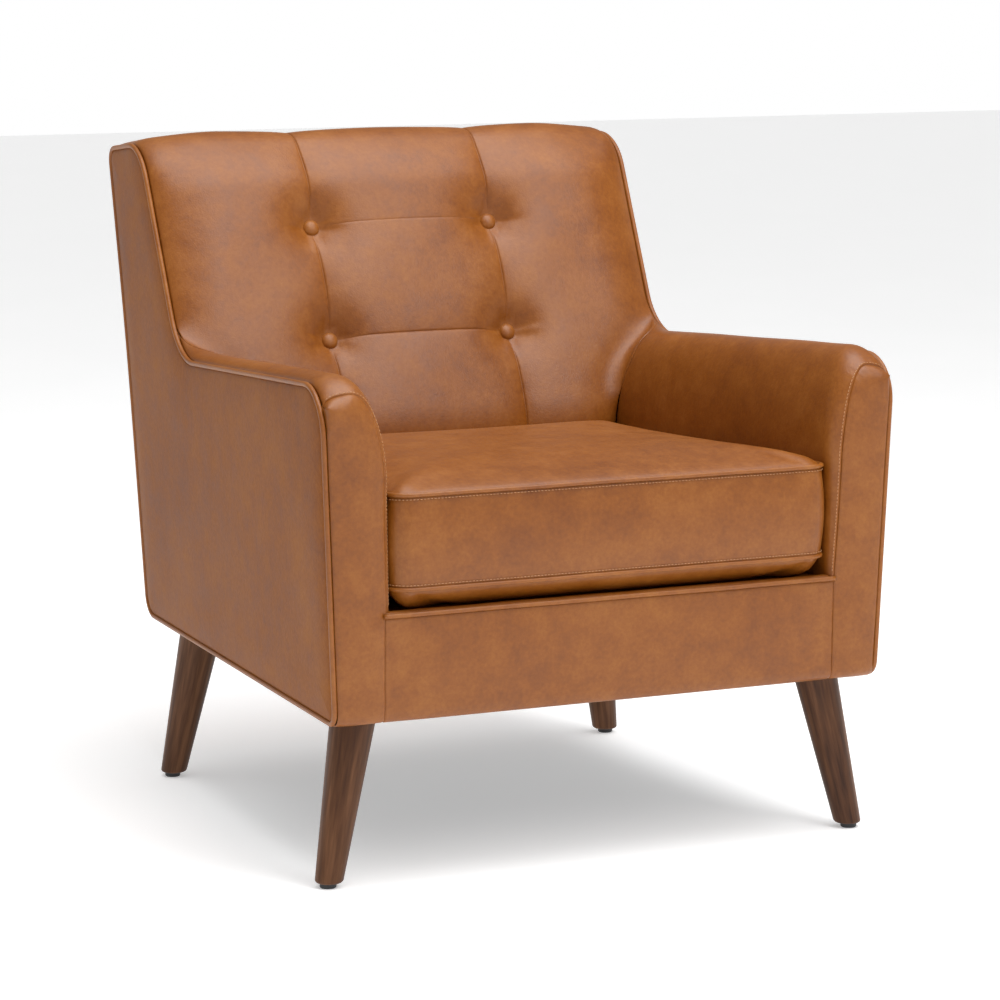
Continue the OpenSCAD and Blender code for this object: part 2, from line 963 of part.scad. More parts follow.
// The slider runs along the tape from +X, closed, to -X, open. It carries the pull's upright pin.
module zipper_slider() {
    front = tape_t + 0.15;
    rear = 2.5;
    lug = [3, 3.3, 1.4];
    color("silver") placed() translate([zip_x, cushion_rear_y, zip_z]) {
        translate([-slider_w / 2, front, -slider_h / 2]) cube([slider_w, rear - front, slider_h]);
        translate([0, zip_pin_y, -slider_h / 2]) cylinder(h = slider_h, r = zip_pin_r);
        for (z = [-slider_h / 2, slider_h / 2 - lug.z])
            translate([-lug.x / 2, rear - 0.2, z]) cube(lug);
    }
}

// The pull lies along the tape towards -X and turns on the slider's pin.
module zipper_pull() {
    plate_t = 1.2;
    color("silver") placed() translate([zip_x, cushion_rear_y + zip_pin_y, zip_z - zip_grip_h / 2])
        difference() {
            union() {
                cylinder(h = zip_grip_h, r = zip_eye_r);
                translate([-zip_pull_l, -plate_t / 2, 0]) cube([zip_pull_l - 1, plate_t, zip_grip_h]);
            }
            translate([0, 0, -1]) cylinder(h = zip_grip_h + 2, r = zip_pin_r + stem_clearance);
        }
}

seat_rail_front();
seat_rail_back();
seat_rail_left();
seat_rail_right();
leg_blocks();
arm_post_left();
arm_post_right();
arm_rail_left();
arm_rail_right();
back_stile_left();
back_stile_right();
back_post_left();
back_post_right();
back_top_rail();
back_lower_rail();
seat_springs();
spring_clips();
back_webbing();
deck_pad();
deck_cover();
front_rail_foam();
front_rail_cover();
front_rail_welt();
arm_foam_left();
arm_foam_right();
inside_arm_left();
inside_arm_right();
arm_front_left();
arm_front_right();
outside_arm_left();
outside_arm_right();
side_welt_left();
side_welt_right();
back_foam();
inside_back();
outside_back();
back_buttons();
button_ties();
dust_cover();
leg_front_left();
leg_front_right();
leg_rear_left();
leg_rear_right();
hanger_bolts();
t_nuts();
glide_inserts();
glide_front_left();
glide_front_right();
glide_rear_left();
glide_rear_right();
cushion_cover();
cushion_foam();
cushion_welts();
zipper_tape();
zipper_slider();
zipper_pull();
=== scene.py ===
"""The looks of an upholstered leather armchair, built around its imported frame.

Shapes are worked out in millimetres. There y = 0 is the foot of the arm fronts, as in the chair's drawings,
and mesh_piece() turns them into metres in the chair's own frame.
"""
import json
import math

import bmesh
import bpy
import numpy as np
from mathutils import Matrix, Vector


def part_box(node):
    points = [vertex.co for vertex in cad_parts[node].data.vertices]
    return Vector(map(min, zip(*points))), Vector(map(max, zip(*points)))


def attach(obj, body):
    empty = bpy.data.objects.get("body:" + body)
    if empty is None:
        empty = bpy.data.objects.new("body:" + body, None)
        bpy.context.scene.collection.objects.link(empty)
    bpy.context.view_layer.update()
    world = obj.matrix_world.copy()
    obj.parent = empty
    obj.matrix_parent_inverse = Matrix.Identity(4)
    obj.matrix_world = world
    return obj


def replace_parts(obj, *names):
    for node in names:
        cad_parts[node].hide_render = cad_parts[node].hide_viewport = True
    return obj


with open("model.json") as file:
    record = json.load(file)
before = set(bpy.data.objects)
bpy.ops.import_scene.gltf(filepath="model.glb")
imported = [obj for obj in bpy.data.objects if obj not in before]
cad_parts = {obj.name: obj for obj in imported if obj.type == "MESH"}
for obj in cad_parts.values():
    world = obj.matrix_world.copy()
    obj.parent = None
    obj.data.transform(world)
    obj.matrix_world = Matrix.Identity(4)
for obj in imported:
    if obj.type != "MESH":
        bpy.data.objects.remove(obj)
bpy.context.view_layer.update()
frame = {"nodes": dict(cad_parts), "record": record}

MM = 0.001
FRONT_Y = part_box("front_rail_cover")[0].y
BODY_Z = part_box("front_rail_cover")[0].z / MM
DECK_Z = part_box("deck_cover")[1].z / MM
LEFT, RIGHT = -1, 1
SIDES = {"left": LEFT, "right": RIGHT}

# The chair's frame of sizes
SIDE_X = 351.7
LEAN = math.radians(2.25)
TAPER = math.radians(3.34)
ARM_W = 62.2
ARM_Z = 600.0
NOSE = 7.0
SIDE_CORNERS = [
    (0, BODY_Z, 20), (766, BODY_Z, 32), (795, 560, 3000), (835, 820, 22),
    (686.5, 835, 75), (556, 567, 88), (-NOSE, ARM_Z, 58),
]
BACK_CORNERS = [
    (585, 398, 1), (512, 398, 40), (512, 470, 120), (676, 850, 65), (837, 830, 14), (832, 812, 1),
]
REAR_CORNERS = [(832, 812, 1), (793, 560, 3000), (765, BODY_Z, 30), (724, BODY_Z, 1)]
BUTTON_X = 127.0
BUTTON_ROWS = (583.2, 724.8)
WELT_R = 3.2
SEAM_DEPTH = 1.4
SEAM_W = 1.0


# ---- Numbers and curves ----

def unit(v):
    return v / np.linalg.norm(v)


def left_of(v):
    return np.array([-v[1], v[0]])


def corner_arc(p, d1, d2, r, inset, steps):
    """A rounded corner between the directions d1 and d2, moved to the left by inset."""
    n1, n2 = left_of(d1), left_of(d2)
    turn = math.atan2(d1[0] * d2[1] - d1[1] * d2[0], d1 @ d2)
    bend = math.copysign(1, turn)
    radius = max(0.5, r - bend * inset)
    start = p + (n1 + n2) * inset / (1 + n1 @ n2) - d1 * radius * math.tan(abs(turn) / 2)
    centre = start + n1 * radius * bend
    angles = turn * np.arange(steps + 1) / steps
    ray = start - centre
    return [centre + np.array([ray[0] * math.cos(a) - ray[1] * math.sin(a),
                               ray[0] * math.sin(a) + ray[1] * math.cos(a)]) for a in angles]


def rounded(corners, inset=0.0, closed=True, steps=14):
    """An outline with rounded corners: closed and moved inwards, or open and moved to its left."""
    points = [np.array(c[:2], float) for c in corners]
    n = len(points)
    out = []
    for i in (range(n) if closed else range(1, n - 1)):
        d1, d2 = unit(points[i] - points[i - 1]), unit(points[(i + 1) % n] - points[i])
        out += corner_arc(points[i], d1, d2, corners[i][2], inset, steps)
    if closed:
        return np.array(out)
    first, last = unit(points[1] - points[0]), unit(points[-1] - points[-2])
    return np.array([points[0] + left_of(first) * inset] + out + [points[-1] + left_of(last) * inset])


def lengths(points):
    steps = np.linalg.norm(np.diff(points, axis=0), axis=1)
    return np.concatenate([[0], np.cumsum(steps)])


def along(points, distances):
    """Points at the given distances along a line of points."""
    s = lengths(points)
    return np.stack([np.interp(distances, s, points[:, k]) for k in range(points.shape[1])], 1)


def spline(points, count):
    """A smooth line through the points: count points at even distances."""
    p = np.array(points, float)
    p = np.vstack([2 * p[0] - p[1], p, 2 * p[-1] - p[-2]])
    out = []
    for i in range(1, len(p) - 2):
        a, b, c, d = p[i - 1], p[i], p[i + 1], p[i + 2]
        for t in np.linspace(0, 1, 16, endpoint=False):
            out.append(0.5 * (2 * b + (c - a) * t + (2 * a - 5 * b + 4 * c - d) * t * t
                              + (3 * b - a - 3 * c + d) * t ** 3))
    out.append(p[-2])
    out = np.array(out)
    s = lengths(out[:, :2])
    even = np.linspace(0, s[-1], count)
    return np.stack([np.interp(even, s, out[:, k]) for k in range(out.shape[1])], 1)


def smooth(t):
    t = np.clip(t, 0, 1)
    return t * t * (3 - 2 * t)


def ripple(x, y, size, seed=0.0):
    """A soft uneven field between about -1 and 1, the same each time, whose waves are about size long."""
    k = 2 * math.pi / size
    first = np.sin(k * (x * 0.83 + y * 0.41) + 1.3 + seed)
    second = np.sin(k * (y * 0.97 - x * 0.33) * 1.27 + 4.1 * seed)
    third = np.sin(k * (x * 0.52 - y * 0.71) * 1.71 + 2.2 + 2.7 * seed)
    return (first + second + third) / 3


def graded(length, fine, step):
    """Distances from 0 to length: close together at both ends, as fine says, and step apart between."""
    ends = np.array(fine)
    count = max(2, int(round((length - 2 * fine[-1]) / step)))
    middle = np.linspace(fine[-1], length - fine[-1], count + 1)[1:-1]
    return np.concatenate([ends, middle, length - ends[::-1]])


def groove(d):
    """How deep the leather turns in at a distance d from a seam."""
    return SEAM_DEPTH * np.exp(-((d / SEAM_W) ** 2))


# ---- Frames ----

def tapered(side, x, y, z):
    """From a side's own frame, where x = 0 is the side's line at the floor, to the chair's."""
    x, y, z = np.broadcast_arrays(np.asarray(x, float), np.asarray(y, float), np.asarray(z, float))
    chair_x = SIDE_X + x * math.cos(TAPER) - y * math.sin(TAPER)
    return np.stack([side * chair_x, x * math.sin(TAPER) + y * math.cos(TAPER), z], -1)


def leaning(side, u, y, z):
    """The same frame, leaning with the side panel, whose outer face is u = 0."""
    x = u * math.cos(LEAN) + np.asarray(z, float) * math.sin(LEAN)
    return tapered(side, x, y, -u * math.sin(LEAN) + np.asarray(z, float) * math.cos(LEAN))


def arm_frame(side, x, y, z):
    """A side's own frame again, but with the arm fronts square to the chair."""
    x, y, z = np.broadcast_arrays(np.asarray(x, float), np.asarray(y, float), np.asarray(z, float))
    return np.stack([side * (SIDE_X + x * math.cos(TAPER) - y * math.sin(TAPER)), y * math.cos(TAPER), z], -1)


SIDE_TOP = rounded([(-NOSE, ARM_Z, 1), (556, 567, 88), (686.5, 835, 75), (835, 820, 22), (797, 570, 1)],
                   closed=False, steps=24)
# the points of it over which y rises
RISING = SIDE_TOP[:60]


def arm_line(y):
    """Height of a side's outline over the arm, and up the start of the back."""
    return np.interp(y, RISING[:, 0], RISING[:, 1])


def front_lean(z):
    """Y of the arm's front face, which leans out at the top."""
    return -NOSE * (np.asarray(z) - BODY_Z) / (ARM_Z - BODY_Z)


# ---- Materials ----

def new_material(name):
    m = bpy.data.materials.new(name)
    m.use_nodes = True
    return m, m.node_tree, m.node_tree.nodes["Principled BSDF"]


def noise(tree, scale, detail=2.0, rough=0.5, stretch=None, attribute=None):
    tex = tree.nodes.new("ShaderNodeTexNoise")
    tex.inputs["Scale"].default_value = scale
    tex.inputs["Detail"].default_value = detail
    tex.inputs["Roughness"].default_value = rough
    tree.links.new(coordinates(tree, stretch, attribute), tex.inputs["Vector"])
    return tex.outputs["Fac"]


def coordinates(tree, stretch=None, attribute=None):
    """A piece's own coordinates, or those that it stores under the attribute's name."""
    if attribute:
        stored = tree.nodes.new("ShaderNodeAttribute")
        stored.attribute_name = attribute
        place = stored.outputs["Vector"]
    else:
        place = tree.nodes.new("ShaderNodeTexCoord").outputs["Object"]
    if stretch is None:
        return place
    mapping = tree.nodes.new("ShaderNodeMapping")
    mapping.inputs["Scale"].default_value = stretch
    tree.links.new(place, mapping.inputs["Vector"])
    return mapping.outputs["Vector"]


def ramp(tree, fac, stops):
    node = tree.nodes.new("ShaderNodeValToRGB")
    while len(node.color_ramp.elements) < len(stops):
        node.color_ramp.elements.new(0.5)
    for element, (place, colour) in zip(node.color_ramp.elements, stops):
        element.position = place
        element.color = (*colour, 1)
    tree.links.new(fac, node.inputs["Fac"])
    return node.outputs["Color"]


def math_node(tree, kind, a, b, c=None):
    node = tree.nodes.new("ShaderNodeMath")
    node.operation = kind
    for socket, value in zip(node.inputs, (a, b, c)):
        if value is None:
            continue
        if isinstance(value, (int, float)):
            socket.default_value = value
        else:
            tree.links.new(value, socket)
    return node.outputs[0]


def bump(tree, height, strength, distance, normal=None):
    node = tree.nodes.new("ShaderNodeBump")
    node.inputs["Strength"].default_value = strength
    node.inputs["Distance"].default_value = distance
    tree.links.new(height, node.inputs["Height"])
    if normal is not None:
        tree.links.new(normal, node.inputs["Normal"])
    return node.outputs["Normal"]


def finish(tree, shader, **sockets):
    """Links what a material's nodes make to its shader: base_color, roughness and normal."""
    for socket, value in sockets.items():
        tree.links.new(value, shader.inputs[socket.replace("_", " ").title()])


def leather(name, dark, mid, light, wrinkle=0.5, gloss=0.46):
    """Waxed pull-up leather: cloudy colour, fine pebble grain and soft creases."""
    m, tree, shader = new_material(name)
    clouds = noise(tree, 5.0, 6.0, 0.62)
    mottle = noise(tree, 34.0, 5.0, 0.6)
    specks = noise(tree, 190.0, 3.0, 0.6)
    tone = math_node(tree, "MULTIPLY_ADD", mottle, 0.5, math_node(tree, "MULTIPLY", clouds, 0.5))
    tone = math_node(tree, "MULTIPLY_ADD", specks, 0.26, math_node(tree, "MULTIPLY", tone, 0.74))
    colour = ramp(tree, tone, [(0.36, dark), (0.5, mid), (0.66, light)])

    pebble = tree.nodes.new("ShaderNodeTexVoronoi")
    pebble.feature = "SMOOTH_F1"
    pebble.inputs["Scale"].default_value = 620.0
    tree.links.new(coordinates(tree), pebble.inputs["Vector"])
    creases = noise(tree, 46.0, 4.0, 0.62)
    normal = bump(tree, creases, 0.14 * wrinkle, 0.004)
    normal = bump(tree, noise(tree, 260.0, 3.0, 0.6), 0.28, 0.0006, normal)
    normal = bump(tree, pebble.outputs["Distance"], 0.35, 0.00035, normal)
    rough = math_node(tree, "MULTIPLY_ADD", mottle, 0.22, 0.31)
    finish(tree, shader, base_color=colour, roughness=rough, normal=normal)
    shader.inputs["Specular IOR Level"].default_value = gloss
    return m


def wood(name, dark, mid, light, stretch, rough=0.42, attribute=None):
    """Straight-grained wood: long fibres along the stretched axis, with darker pores."""
    m, tree, shader = new_material(name)
    band = noise(tree, 26.0, 5.0, 0.62, stretch, attribute)
    fibre = noise(tree, 150.0, 3.0, 0.6, stretch, attribute)
    tone = math_node(tree, "MULTIPLY_ADD", fibre, 0.4, math_node(tree, "MULTIPLY", band, 0.6))
    finish(tree, shader, base_color=ramp(tree, tone, [(0.36, dark), (0.5, mid), (0.63, light)]),
           roughness=math_node(tree, "MULTIPLY_ADD", fibre, 0.2, rough - 0.1),
           normal=bump(tree, fibre, 0.25, 0.0006))
    shader.inputs["Specular IOR Level"].default_value = 0.2
    return m


def woven(name, dark, light, pitch):
    """Plain weave, with threads that cross along X and Y."""
    m, tree, shader = new_material(name)
    waves = []
    for direction in ("X", "Y"):
        wave = tree.nodes.new("ShaderNodeTexWave")
        wave.bands_direction = direction
        wave.inputs["Scale"].default_value = math.pi / 10 / pitch
        wave.inputs["Distortion"].default_value = 0.4
        tree.links.new(coordinates(tree), wave.inputs["Vector"])
        waves.append(wave.outputs["Fac"])
    weave = math_node(tree, "MULTIPLY", waves[0], waves[1])
    mottle = noise(tree, 80.0, 3.0)
    tone = math_node(tree, "MULTIPLY_ADD", mottle, 0.5, math_node(tree, "MULTIPLY", weave, 0.5))
    finish(tree, shader, base_color=ramp(tree, tone, [(0.2, dark), (0.7, light)]),
           normal=bump(tree, weave, 0.5, 0.0004))
    shader.inputs["Roughness"].default_value = 0.85
    shader.inputs["Sheen Weight"].default_value = 0.15
    return m


def plain_solid(name, colour, rough, metallic=0.0, grain=300.0, spread=0.12, depth=0.0002):
    """A moulded, foamed or metal surface with slight unevenness in its colour, gloss and texture."""
    m, tree, shader = new_material(name)
    field = noise(tree, grain, 4.0, 0.6)
    dark = tuple(c * (1 - spread) for c in colour)
    light = tuple(min(1.0, c * (1 + spread)) for c in colour)
    finish(tree, shader, base_color=ramp(tree, field, [(0.3, dark), (0.7, light)]),
           roughness=math_node(tree, "MULTIPLY_ADD", field, 0.2, rough - 0.1),
           normal=bump(tree, field, 0.3, depth))
    shader.inputs["Metallic"].default_value = metallic
    return m


TAN = dict(dark=(0.172, 0.045, 0.003), mid=(0.232, 0.067, 0.004), light=(0.300, 0.100, 0.012))
LEATHER = leather("tan_leather", **TAN)
SIDE_LEATHER = leather("tan_leather_side", **TAN, wrinkle=0.35, gloss=0.07)
WELT_LEATHER = leather("tan_leather_welt", (0.195, 0.053, 0.004), (0.26, 0.079, 0.007), (0.33, 0.115, 0.015),
                       wrinkle=0.3)
THREAD = plain_solid("stitching_thread", (0.5, 0.25, 0.11), 0.6, grain=900.0)
WALNUT = wood("walnut_stain", (0.030, 0.010, 0.004), (0.092, 0.036, 0.014), (0.170, 0.075, 0.033),
              stretch=(1, 1, 0.05), attribute="along_leg")
FRAME_WOOD = wood("frame_hardwood", (0.42, 0.26, 0.13), (0.56, 0.38, 0.21), (0.66, 0.48, 0.29),
                  stretch=(0.1, 1, 1), rough=0.7)
FOAM = plain_solid("foam", (0.78, 0.72, 0.56), 0.9, grain=500.0, depth=0.0008)
STEEL = plain_solid("zinc_steel", (0.42, 0.42, 0.44), 0.38, 1.0, grain=220.0)
BRASS = plain_solid("brass", (0.72, 0.5, 0.22), 0.35, 1.0, grain=220.0)
ZIP_METAL = plain_solid("antique_zip_metal", (0.35, 0.28, 0.19), 0.4, 1.0, grain=400.0)
PLASTIC = plain_solid("black_glide_plastic", (0.018, 0.018, 0.019), 0.5, grain=700.0)
CAMBRIC = woven("black_cambric", (0.01, 0.01, 0.011), (0.045, 0.045, 0.048), 0.0011)
WEBBING = woven("elastic_webbing", (0.02, 0.02, 0.023), (0.10, 0.10, 0.11), 0.0018)
TWINE = plain_solid("waxed_twine", (0.7, 0.62, 0.45), 0.6, grain=800.0, depth=0.0004)
DECK_CLOTH = woven("deck_cloth", (0.10, 0.042, 0.016), (0.25, 0.115, 0.05), 0.0009)
ZIP_TAPE = woven("zipper_tape_cloth", (0.05, 0.02, 0.009), (0.14, 0.065, 0.032), 0.0007)
FLOOR = plain_solid("pale_floor", (0.93, 0.93, 0.93), 0.7, grain=3.0, spread=0.01, depth=0.00001)


# ---- Meshes ----

# Points closer than WELD become one, and edges shorter than SLIVER go, in metres
WELD = 0.00003
SLIVER = 0.00001


def mesh_piece(name, points, faces, material, body="chair_frame", outwards=None):
    """A piece from points in millimetres. outwards is a point inside it, from which its faces look away."""
    world = np.asarray(points, float).reshape(-1, 3) * MM + np.array([0, FRONT_Y, 0])
    mesh = bpy.data.meshes.new(name)
    mesh.from_pydata(world.tolist(), [], faces)
    cleaned = bmesh.new()
    cleaned.from_mesh(mesh)
    bmesh.ops.remove_doubles(cleaned, verts=cleaned.verts, dist=WELD)
    bmesh.ops.dissolve_degenerate(cleaned, edges=cleaned.edges, dist=SLIVER)
    if outwards is None:
        bmesh.ops.recalc_face_normals(cleaned, faces=cleaned.faces)
    else:
        inside = Vector(outwards) * MM + Vector((0, FRONT_Y, 0))
        looks = sum((f.calc_center_median() - inside).dot(f.normal) * f.calc_area() for f in cleaned.faces)
        if looks < 0:
            bmesh.ops.reverse_faces(cleaned, faces=cleaned.faces)
    cleaned.to_mesh(mesh)
    cleaned.free()
    mesh.shade_smooth()
    piece = bpy.data.objects.new(name, mesh)
    bpy.context.scene.collection.objects.link(piece)
    mesh.materials.append(material)
    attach(piece, body)
    return piece


def grid_faces(rows, cols, closed_rows=False, closed_cols=False, start=0):
    """Four-sided faces over rows of points, each row cols long, whose first point has the index start."""
    faces = []
    for i in range(rows if closed_rows else rows - 1):
        for j in range(cols if closed_cols else cols - 1):
            a, b = i * cols, ((i + 1) % rows) * cols
            k = (j + 1) % cols
            faces.append((start + a + j, start + a + k, start + b + k, start + b + j))
    return faces


def capped(rings, count):
    """Faces over closed rings of count points each, with a face over the first ring and the last."""
    faces = grid_faces(rings, count, closed_cols=True)
    last = (rings - 1) * count
    return faces + [tuple(range(count))[::-1], tuple(range(last, last + count))]


def cover(name, rows, material, inside, thickness=2.2):
    """A cover over rows of points, thickened towards the padding, in which inside is a point."""
    piece = mesh_piece(name, rows, grid_faces(*rows.shape[:2]), material, outwards=inside)
    solid = piece.modifiers.new("thickness", "SOLIDIFY")
    solid.thickness = thickness * MM
    solid.offset = -1
    return piece


def tube(path, radius, up, closed=False, sides=14):
    """Points and faces of a round cord along path. up is a direction that the cord never runs along."""
    path = np.asarray(path, float)
    if closed:
        tangent = np.roll(path, -1, 0) - np.roll(path, 1, 0)
    else:
        tangent = np.gradient(path, axis=0)
    tangent /= np.linalg.norm(tangent, axis=1)[:, None]
    across = np.cross(tangent, np.asarray(up, float))
    across /= np.linalg.norm(across, axis=1)[:, None]
    over = np.cross(across, tangent)
    angle = np.linspace(0, 2 * math.pi, sides, endpoint=False)
    ring = (across[:, None] * np.cos(angle)[None, :, None] + over[:, None] * np.sin(angle)[None, :, None])
    points = (path[:, None] + ring * radius).reshape(-1, 3)
    faces = grid_faces(len(path), sides, closed, True)
    if not closed:
        faces += [tuple(range(sides))[::-1], tuple(range(len(points) - sides, len(points)))]
    return points, faces


def spaced(path, step, closed=False):
    """The same line with points about step apart."""
    path = np.asarray(path, float)
    if closed:
        path = np.vstack([path, path[:1]])
    total = lengths(path)[-1]
    count = max(3, int(round(total / step)))
    even = along(path, np.linspace(0, total, count + 1))
    return even[:-1] if closed else even


def stitches(name, path, normal, body="chair_frame", pitch=4.4, length=3.1, radius=0.42, closed=False):
    """A row of separate thread stitches that lie along path, each a small bead sunk at both ends."""
    path = np.asarray(path, float)
    both = np.hstack([path, np.broadcast_to(normal, path.shape)])
    if closed:
        both = np.vstack([both, both[:1]])
    s = lengths(both[:, :3])
    points, faces = [], []
    # where each ring of a stitch stands along it, its size, and how far it rises
    shape = [(-0.5, 0.35, -0.5), (-0.34, 0.9, 0.1), (0.0, 1.0, 0.35), (0.34, 0.9, 0.1), (0.5, 0.35, -0.5)]
    sides = 6
    last = (len(shape) - 1) * sides
    for at in np.arange(pitch / 2, s[-1] - pitch / 2, pitch):
        here = np.array([np.interp(at + length * a, s, both[:, k]) for a, _, _ in shape for k in range(6)])
        here = here.reshape(-1, 6)
        run = unit(here[-1, :3] - here[0, :3])
        out = unit(here[2, 3:])
        out = unit(out - run * (out @ run))
        side = np.cross(run, out)
        start = len(points)
        for (_, size, rise), point in zip(shape, here[:, :3]):
            centre = point + out * rise * radius
            for a in np.arange(sides) * 2 * math.pi / sides:
                points.append(centre + (side * math.cos(a) + out * math.sin(a)) * radius * size)
        faces += grid_faces(len(shape), sides, closed_cols=True, start=start)
        faces += [tuple(start + k for k in range(sides))[::-1], tuple(start + last + k for k in range(sides))]
    mesh_piece(name, points, faces, THREAD, body)


# ---- Sides ----

def side_panel(label, side):
    """One closed, softly domed panel from the front of the arm to the rear of the back."""
    # how far in from the outline, and how far out of the panel's plane
    profile = [
        (2.6, -3.9), (2.6, -3.0), (5.0, -2.2), (6.4, -1.2), (7.6, -0.4), (10, 0.3), (14, 0.9),
        (20, 1.5), (28, 2.1), (37, 2.5), (46, 2.7),
    ]
    rings = [rounded(SIDE_CORNERS, inset, steps=18) for inset, _ in profile]
    points = [leaning(side, u, ring[:, 0], ring[:, 1]) for ring, (_, u) in zip(rings, profile)]
    faces = capped(len(rings), len(rings[0]))
    piece = mesh_piece(f"side_panel_{label}", np.vstack(points), faces, SIDE_LEATHER)
    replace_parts(piece, f"outside_arm_{label}")


def side_welt(label, side):
    """The round piping all round a side panel's edge."""
    line = spaced(rounded(SIDE_CORNERS, WELT_R, steps=24), 6, closed=True)
    up = leaning(side, 1.0, 0.0, 0.0) - leaning(side, 0.0, 0.0, 0.0)
    points, faces = tube(leaning(side, -1.4, line[:, 0], line[:, 1]), WELT_R, up, closed=True)
    piece = mesh_piece(f"side_piping_{label}", points, faces, WELT_LEATHER)
    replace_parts(piece, f"side_welt_{label}")


# ---- Arms ----

# Across an arm, from the welt over the top and down the inside: x, z, how far the front edge's
# rounding reaches in (across and back), and the direction in which it reaches, in degrees.
ARM_SECTION = [
    (18.6, 595.8, 58, 58, -92), (15.5, 601.5, 58, 58, -91), (6.0, 606.8, 58, 57, -90),
    (-6.0, 608.2, 56, 54, -88), (-18.0, 605.5, 50, 48, -80), (-30.0, 597.0, 42, 39, -66),
    (-42.0, 579.0, 31, 28, -46), (-52.5, 553.0, 25, 22, -26), (-59.0, 524.0, 22, 18, -10),
    (-62.0, 492.0, 20, 16, 0), (-62.2, 450.0, 18, 16, 0), (-62.2, 400.0, 15, 14, 0),
    (-62.2, 350.0, 11, 12, 0), (-62.2, 320.0, 9, 11, 0),
]
ARM = spline(ARM_SECTION, 96)
ARM_S = lengths(ARM[:, :2])
# Where the front seam lies on the rounded edge, in degrees: from the welt, over the shoulder and down
SEAM_ANGLE = {
    LEFT: 54 - 12 * smooth((ARM_S - 30) / 60),
    RIGHT: 54 + 22 * smooth((ARM_S - 30) / 130),
}
# Where the inside arm meets the inside back: height on the arm, and y
ARM_REAR = [(398, 577), (415, 560), (454, 519), (503, 512), (543, 506), (575, 508)]
# Past the arm's crown, that seam runs back to the welt, which it meets at this y
REAR_WELT_Y = 574
# Height of the arm at its rear, as a share of its height at the front
REAR_FALL = 0.953


def arm_rear():
    """Y of the arm's seam with the back, for each point of the section."""
    heights, ys = np.array(ARM_REAR).T
    inner = np.interp(ARM[:, 1] * REAR_FALL, heights, ys)
    crown = int(np.argmax(ARM[:, 1]))
    t = np.clip(1 - ARM_S / (ARM_S[crown] + 22), 0, 1)
    return inner + (REAR_WELT_Y - ys[-1]) * t ** 1.9


ARM_END = arm_rear()


def arm_surface(side, j, y):
    """Points of an arm's top and inner face, at the section's point j, behind its rounded front edge."""
    return arm_frame(side, ARM[j, 0], y, ARM[j, 1] * arm_line(y) / ARM_Z)


def arm_edge(side, j, theta, sink=0.0):
    """Points of the rounded front edge: theta is 0 beside the arm's length and a right angle in front."""
    x, z, across, back, way = ARM[j]
    reach = across * (1 - np.cos(theta))
    z_here = z + reach * math.sin(math.radians(way))
    x_here = x + reach * math.cos(math.radians(way))
    scale = arm_line(back * (1 - np.sin(theta))) / ARM_Z
    y = front_lean(z_here) * np.sin(theta) + back * (1 - np.sin(theta))
    normal = np.stack([-math.cos(math.radians(way)) * np.cos(theta), -np.sin(theta),
                       -math.sin(math.radians(way)) * np.cos(theta)], -1)
    at = np.stack([x_here, y, z_here * scale], -1) - normal * np.asarray(sink)[..., None]
    return arm_frame(side, at[..., 0], at[..., 1], at[..., 2])


def gathers(phase, d):
    """Small puckers beside a seam, along which phase runs, at a distance d from it."""
    return np.sin(phase) * np.exp(-d / 7) * np.minimum(d, 1.5)


def arm_cover(label, side):
    """The leather over an arm's top and inner face, from the seam at its front to the back."""
    fine = np.array([0, 0.5, 1.1, 1.9, 3.0, 4.6, 6.8])
    rows = []
    for j in range(len(ARM)):
        seam = math.radians(SEAM_ANGLE[side][j])
        turn = (ARM[j, 2] + ARM[j, 3]) / 2
        d = np.concatenate([fine, np.linspace(fine[-1], seam * turn, 12)[1:]])
        pucker = 0.28 * gathers(ARM_S[j] * 0.62 + 1.4 * math.sin(ARM_S[j] * 0.13), d)
        ridge = 0.55 * np.exp(-(((d - 3.0) / 1.8) ** 2))
        front = arm_edge(side, j, seam - d / turn, groove(d) - ridge - pucker)
        start, end = ARM[j, 3], ARM_END[j]
        y = np.concatenate([np.linspace(start, end - 8, 30), end - np.array([4.5, 2.4, 1.3, 0.6, 0])])
        line = arm_surface(side, j, y)
        sink = groove(end - y) + np.exp(-(end - y) / 6)
        soft = 0.8 * ripple(y, ARM_S[j], 190, side) * smooth((y - start) / 60) * smooth((end - y) / 40)
        way = math.radians(ARM[j, 4])
        inwards = np.array([side * math.cos(way), 0, math.sin(way)])
        line = line + inwards * (sink - soft)[:, None]
        rows.append(np.vstack([front, line[1:]]))
    piece = cover(f"arm_cover_{label}", np.array(rows), LEATHER, (side * 318, 260, 470))
    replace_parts(piece, f"inside_arm_{label}", f"arm_foam_{label}")


def arm_front_seam(side):
    """The seam between an arm's cover and its front panel, from the welt down to the rail."""
    rows = [j for j in range(len(ARM)) if ARM[j, 1] > 330]
    return np.array([arm_edge(side, j, math.radians(SEAM_ANGLE[side][j])) for j in rows])


